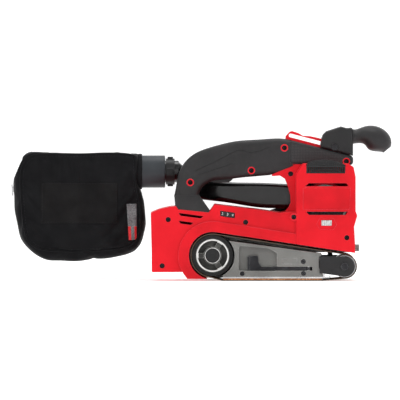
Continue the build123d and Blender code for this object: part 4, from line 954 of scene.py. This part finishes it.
# ---------------------------------------------------------------- details on the grip
grip_trees = {-1: surface_of(nodes["grip_right"].data), 1: surface_of(nodes["grip_left"].data)}
creases = [
    [
        (-95.4, 135.8), (-82.0, 142.0), (-68.7, 148.2), (-48.9, 158.6), (-43.2, 161.2),
        (-37.4, 161.6), (-31.7, 159.6), (-24.2, 158.6), (-13.6, 161.5), (-3.2, 165.3),
    ],
    [(-93.4, 130.2), (-72.0, 137.2), (-48.9, 144.8)],
]
lines = []
for side in (-1, 1):
    for line in creases:
        run = []
        for x, z in smooth_line([np.array(p, float) for p in line], 7):
            y = hit_y(grip_trees[side], x * MM, z * MM, side)
            if y is not None:
                run.append((x * MM, y - side * 0.12 * MM, z * MM))
        if len(run) > 3:
            lines.append(tube_mesh(run, 0.42 * MM, False, 8))
# the crease tubes carry painted shade: their dark rubber stands for the shade in the creases
make("grip_creases", *joined(lines), crease_shade_finish, "body", "black_rubber")

# red rings round the four grip screws; a point that misses the grip takes the ring's middle depth
GRIP_SCREWS = ((-101.4, 121.6), (-25.5, 136.4), (15.5, 164.5), (92.4, 147.6))
RING_RADIUS, RING_THICK, RING_AROUND, RING_DROP = 3.9, 0.5, 40, 2.5
rings_made = []
for cx, cz in GRIP_SCREWS:
    for side in (-1, 1):
        run = []
        for k in range(RING_AROUND):
            a = 2 * math.pi * k / RING_AROUND
            x, z = (cx + RING_RADIUS * math.cos(a)) * MM, (cz + RING_RADIUS * math.sin(a)) * MM
            y = hit_y(grip_trees[side], x, z, side)
            run.append((x, y, z))
        depth = [p[1] for p in run if p[1] is not None]
        if not depth:
            continue
        middle = float(np.median(depth))
        line = []
        for x, y, z in run:
            y = middle if y is None or abs(y - middle) > RING_DROP * MM else y
            line.append((x, y - side * 0.1 * MM, z))
        rings_made.append(tube_mesh(line, RING_THICK * MM, True, 8))
make("screw_rings", *joined(rings_made), finishes["red_plastic"], "body", "red_plastic")

# ---------------------------------------------------------------- digits on the speed dial
dial_low, dial_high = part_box("speed_dial")
dial_centre = (dial_low + dial_high) / 2
DIAL_TILT = math.radians(8.2)
DIGITS, DIGIT_STEP, DIGIT_RADIUS = 6, 27, 14.05
dial_axis = Vector((math.sin(DIAL_TILT), 0, math.cos(DIAL_TILT))).normalized()
ahead = Vector((0, 1, 0)).cross(dial_axis).normalized()
digit_meshes = []
for k in range(DIGITS):
    turn = math.radians(-90 + (k - 2) * DIGIT_STEP)
    outward = (ahead * math.cos(turn) + Vector((0, 1, 0)) * math.sin(turn)).normalized()
    tangent = dial_axis.cross(outward).normalized()
    curve = bpy.data.curves.new(f"digit_{k}", "FONT")
    curve.body = str(k + 1)
    curve.size = 0.0046
    curve.align_x = "CENTER"
    curve.align_y = "CENTER"
    curve.extrude = 0.00012
    text = bpy.data.objects.new(f"digit_{k}", curve)
    bpy.context.scene.collection.objects.link(text)
    place = dial_centre + outward * (DIGIT_RADIUS * MM)
    text.matrix_world = Matrix(
        (
            (tangent.x, dial_axis.x, outward.x, place.x),
            (tangent.y, dial_axis.y, outward.y, place.y),
            (tangent.z, dial_axis.z, outward.z, place.z),
            (0, 0, 0, 1),
        )
    )
    bpy.context.view_layer.update()
    flat = bpy.data.meshes.new_from_object(
        text.evaluated_get(bpy.context.evaluated_depsgraph_get())
    )
    flat.transform(text.matrix_world)
    digit_meshes.append(
        ([v.co.copy() for v in flat.vertices], [tuple(p.vertices) for p in flat.polygons])
    )
    bpy.data.objects.remove(text)
make("dial_digits", *joined(digit_meshes), digit_finish, "dial", "lens", False)

# ---------------------------------------------------------------- raised frame on the side plate
PLATE_FACE = -40.5
frame_line = even([(12.8, 21.8), (32.0, 21.8), (32.0, 27.9), (12.8, 27.9)], 60)
emboss = tube_mesh([(x * MM, PLATE_FACE * MM, z * MM) for x, z in frame_line], 0.35 * MM, True, 6)
make("plate_emboss", *emboss, finishes["grey_metal"], "body", "grey_metal")

# ---------------------------------------------------------------- studio
floor_finish = Finish("studio_floor")
floor_tone = floor_finish.ramp(
    floor_finish.noise(3.0, 3.0), (0.3, (0.86, 0.86, 0.86)), (0.7, (0.9, 0.9, 0.9))
)
floor_finish.set(
    Base_Color=floor_tone,
    Roughness=0.9,
    Emission_Color=(1.0, 1.0, 1.0, 1.0),
    Emission_Strength=0.42,
)
# radius and height of the floor, in metres: flat as far as the long lens looks, then rising
dish = [
    (1.5, 0.0), (13.0, 0.0), (14.4, 0.25), (15.6, 1.0), (16.4, 2.2), (16.8, 4.0), (16.8, 9.0),
]
DISH_AROUND = 64
FLOOR_DROP = 0.0002
dish_verts = []
for r, z in dish:
    for k in range(DISH_AROUND):
        a = 2 * math.pi * k / DISH_AROUND
        dish_verts.append((r * math.cos(a), r * math.sin(a), z - FLOOR_DROP))
hub = len(dish_verts)
dish_verts.append((0, 0, -FLOOR_DROP))
dish_faces = [(hub, k, (k + 1) % DISH_AROUND) for k in range(DISH_AROUND)]
dish_faces += [face[::-1] for face in ring_faces(len(dish), DISH_AROUND)]
floor_mesh = bpy.data.meshes.new("floor")
floor_mesh.from_pydata(dish_verts, [], dish_faces)
floor_mesh.shade_smooth()
floor_mesh.materials.append(floor_finish.material)
floor = bpy.data.objects.new("floor", floor_mesh)
bpy.context.scene.collection.objects.link(floor)

world = bpy.data.worlds.new("studio")
bpy.context.scene.world = world
world.use_nodes = True
background = world.node_tree.nodes["Background"]
background.inputs["Color"].default_value = (1, 1, 1, 1)
background.inputs["Strength"].default_value = 0.56


def lamp(name, place, aim, size, power):
    light = bpy.data.lights.new(name, "AREA")
    light.shape = "RECTANGLE"
    light.size, light.size_y = size
    light.energy = power
    holder = bpy.data.objects.new(name, light)
    holder.location = place
    holder.rotation_euler = (Vector(aim) - Vector(place)).to_track_quat("-Z", "Y").to_euler()
    holder.visible_camera = False
    bpy.context.scene.collection.objects.link(holder)


lamp("key", (-0.9, -1.7, 1.7), (-0.05, 0, 0.08), (1.0, 0.7), 12)
lamp("top", (0.1, 0.2, 1.7), (-0.05, 0, 0.1), (1.5, 0.7), 14)
lamp("fill", (1.3, -1.9, 0.6), (0.0, 0, 0.08), (1.0, 1.0), 3.5)
lamp("rear", (0.3, 1.9, 1.0), (0.0, 0, 0.1), (1.6, 1.0), 6)

camera_data = bpy.data.cameras.new("camera")
camera_data.lens = 700  # long, because the photo's places are taken as seen without perspective
camera_data.sensor_width = 36
camera = bpy.data.objects.new("camera", camera_data)
bpy.context.scene.collection.objects.link(camera)
VIEW_WIDTH = 0.496
aim = Vector((-0.0893, -0.03, 0.1))
distance = VIEW_WIDTH * camera_data.lens / camera_data.sensor_width
elevation = math.radians(1.0)
camera.location = aim + Vector((0, -math.cos(elevation), math.sin(elevation))) * distance
camera.rotation_euler = (math.radians(90) - elevation, 0, 0)
camera_data.clip_start = 0.1
camera_data.clip_end = 40
bpy.context.scene.camera = camera
bpy.context.scene.view_settings.view_transform = "Standard"
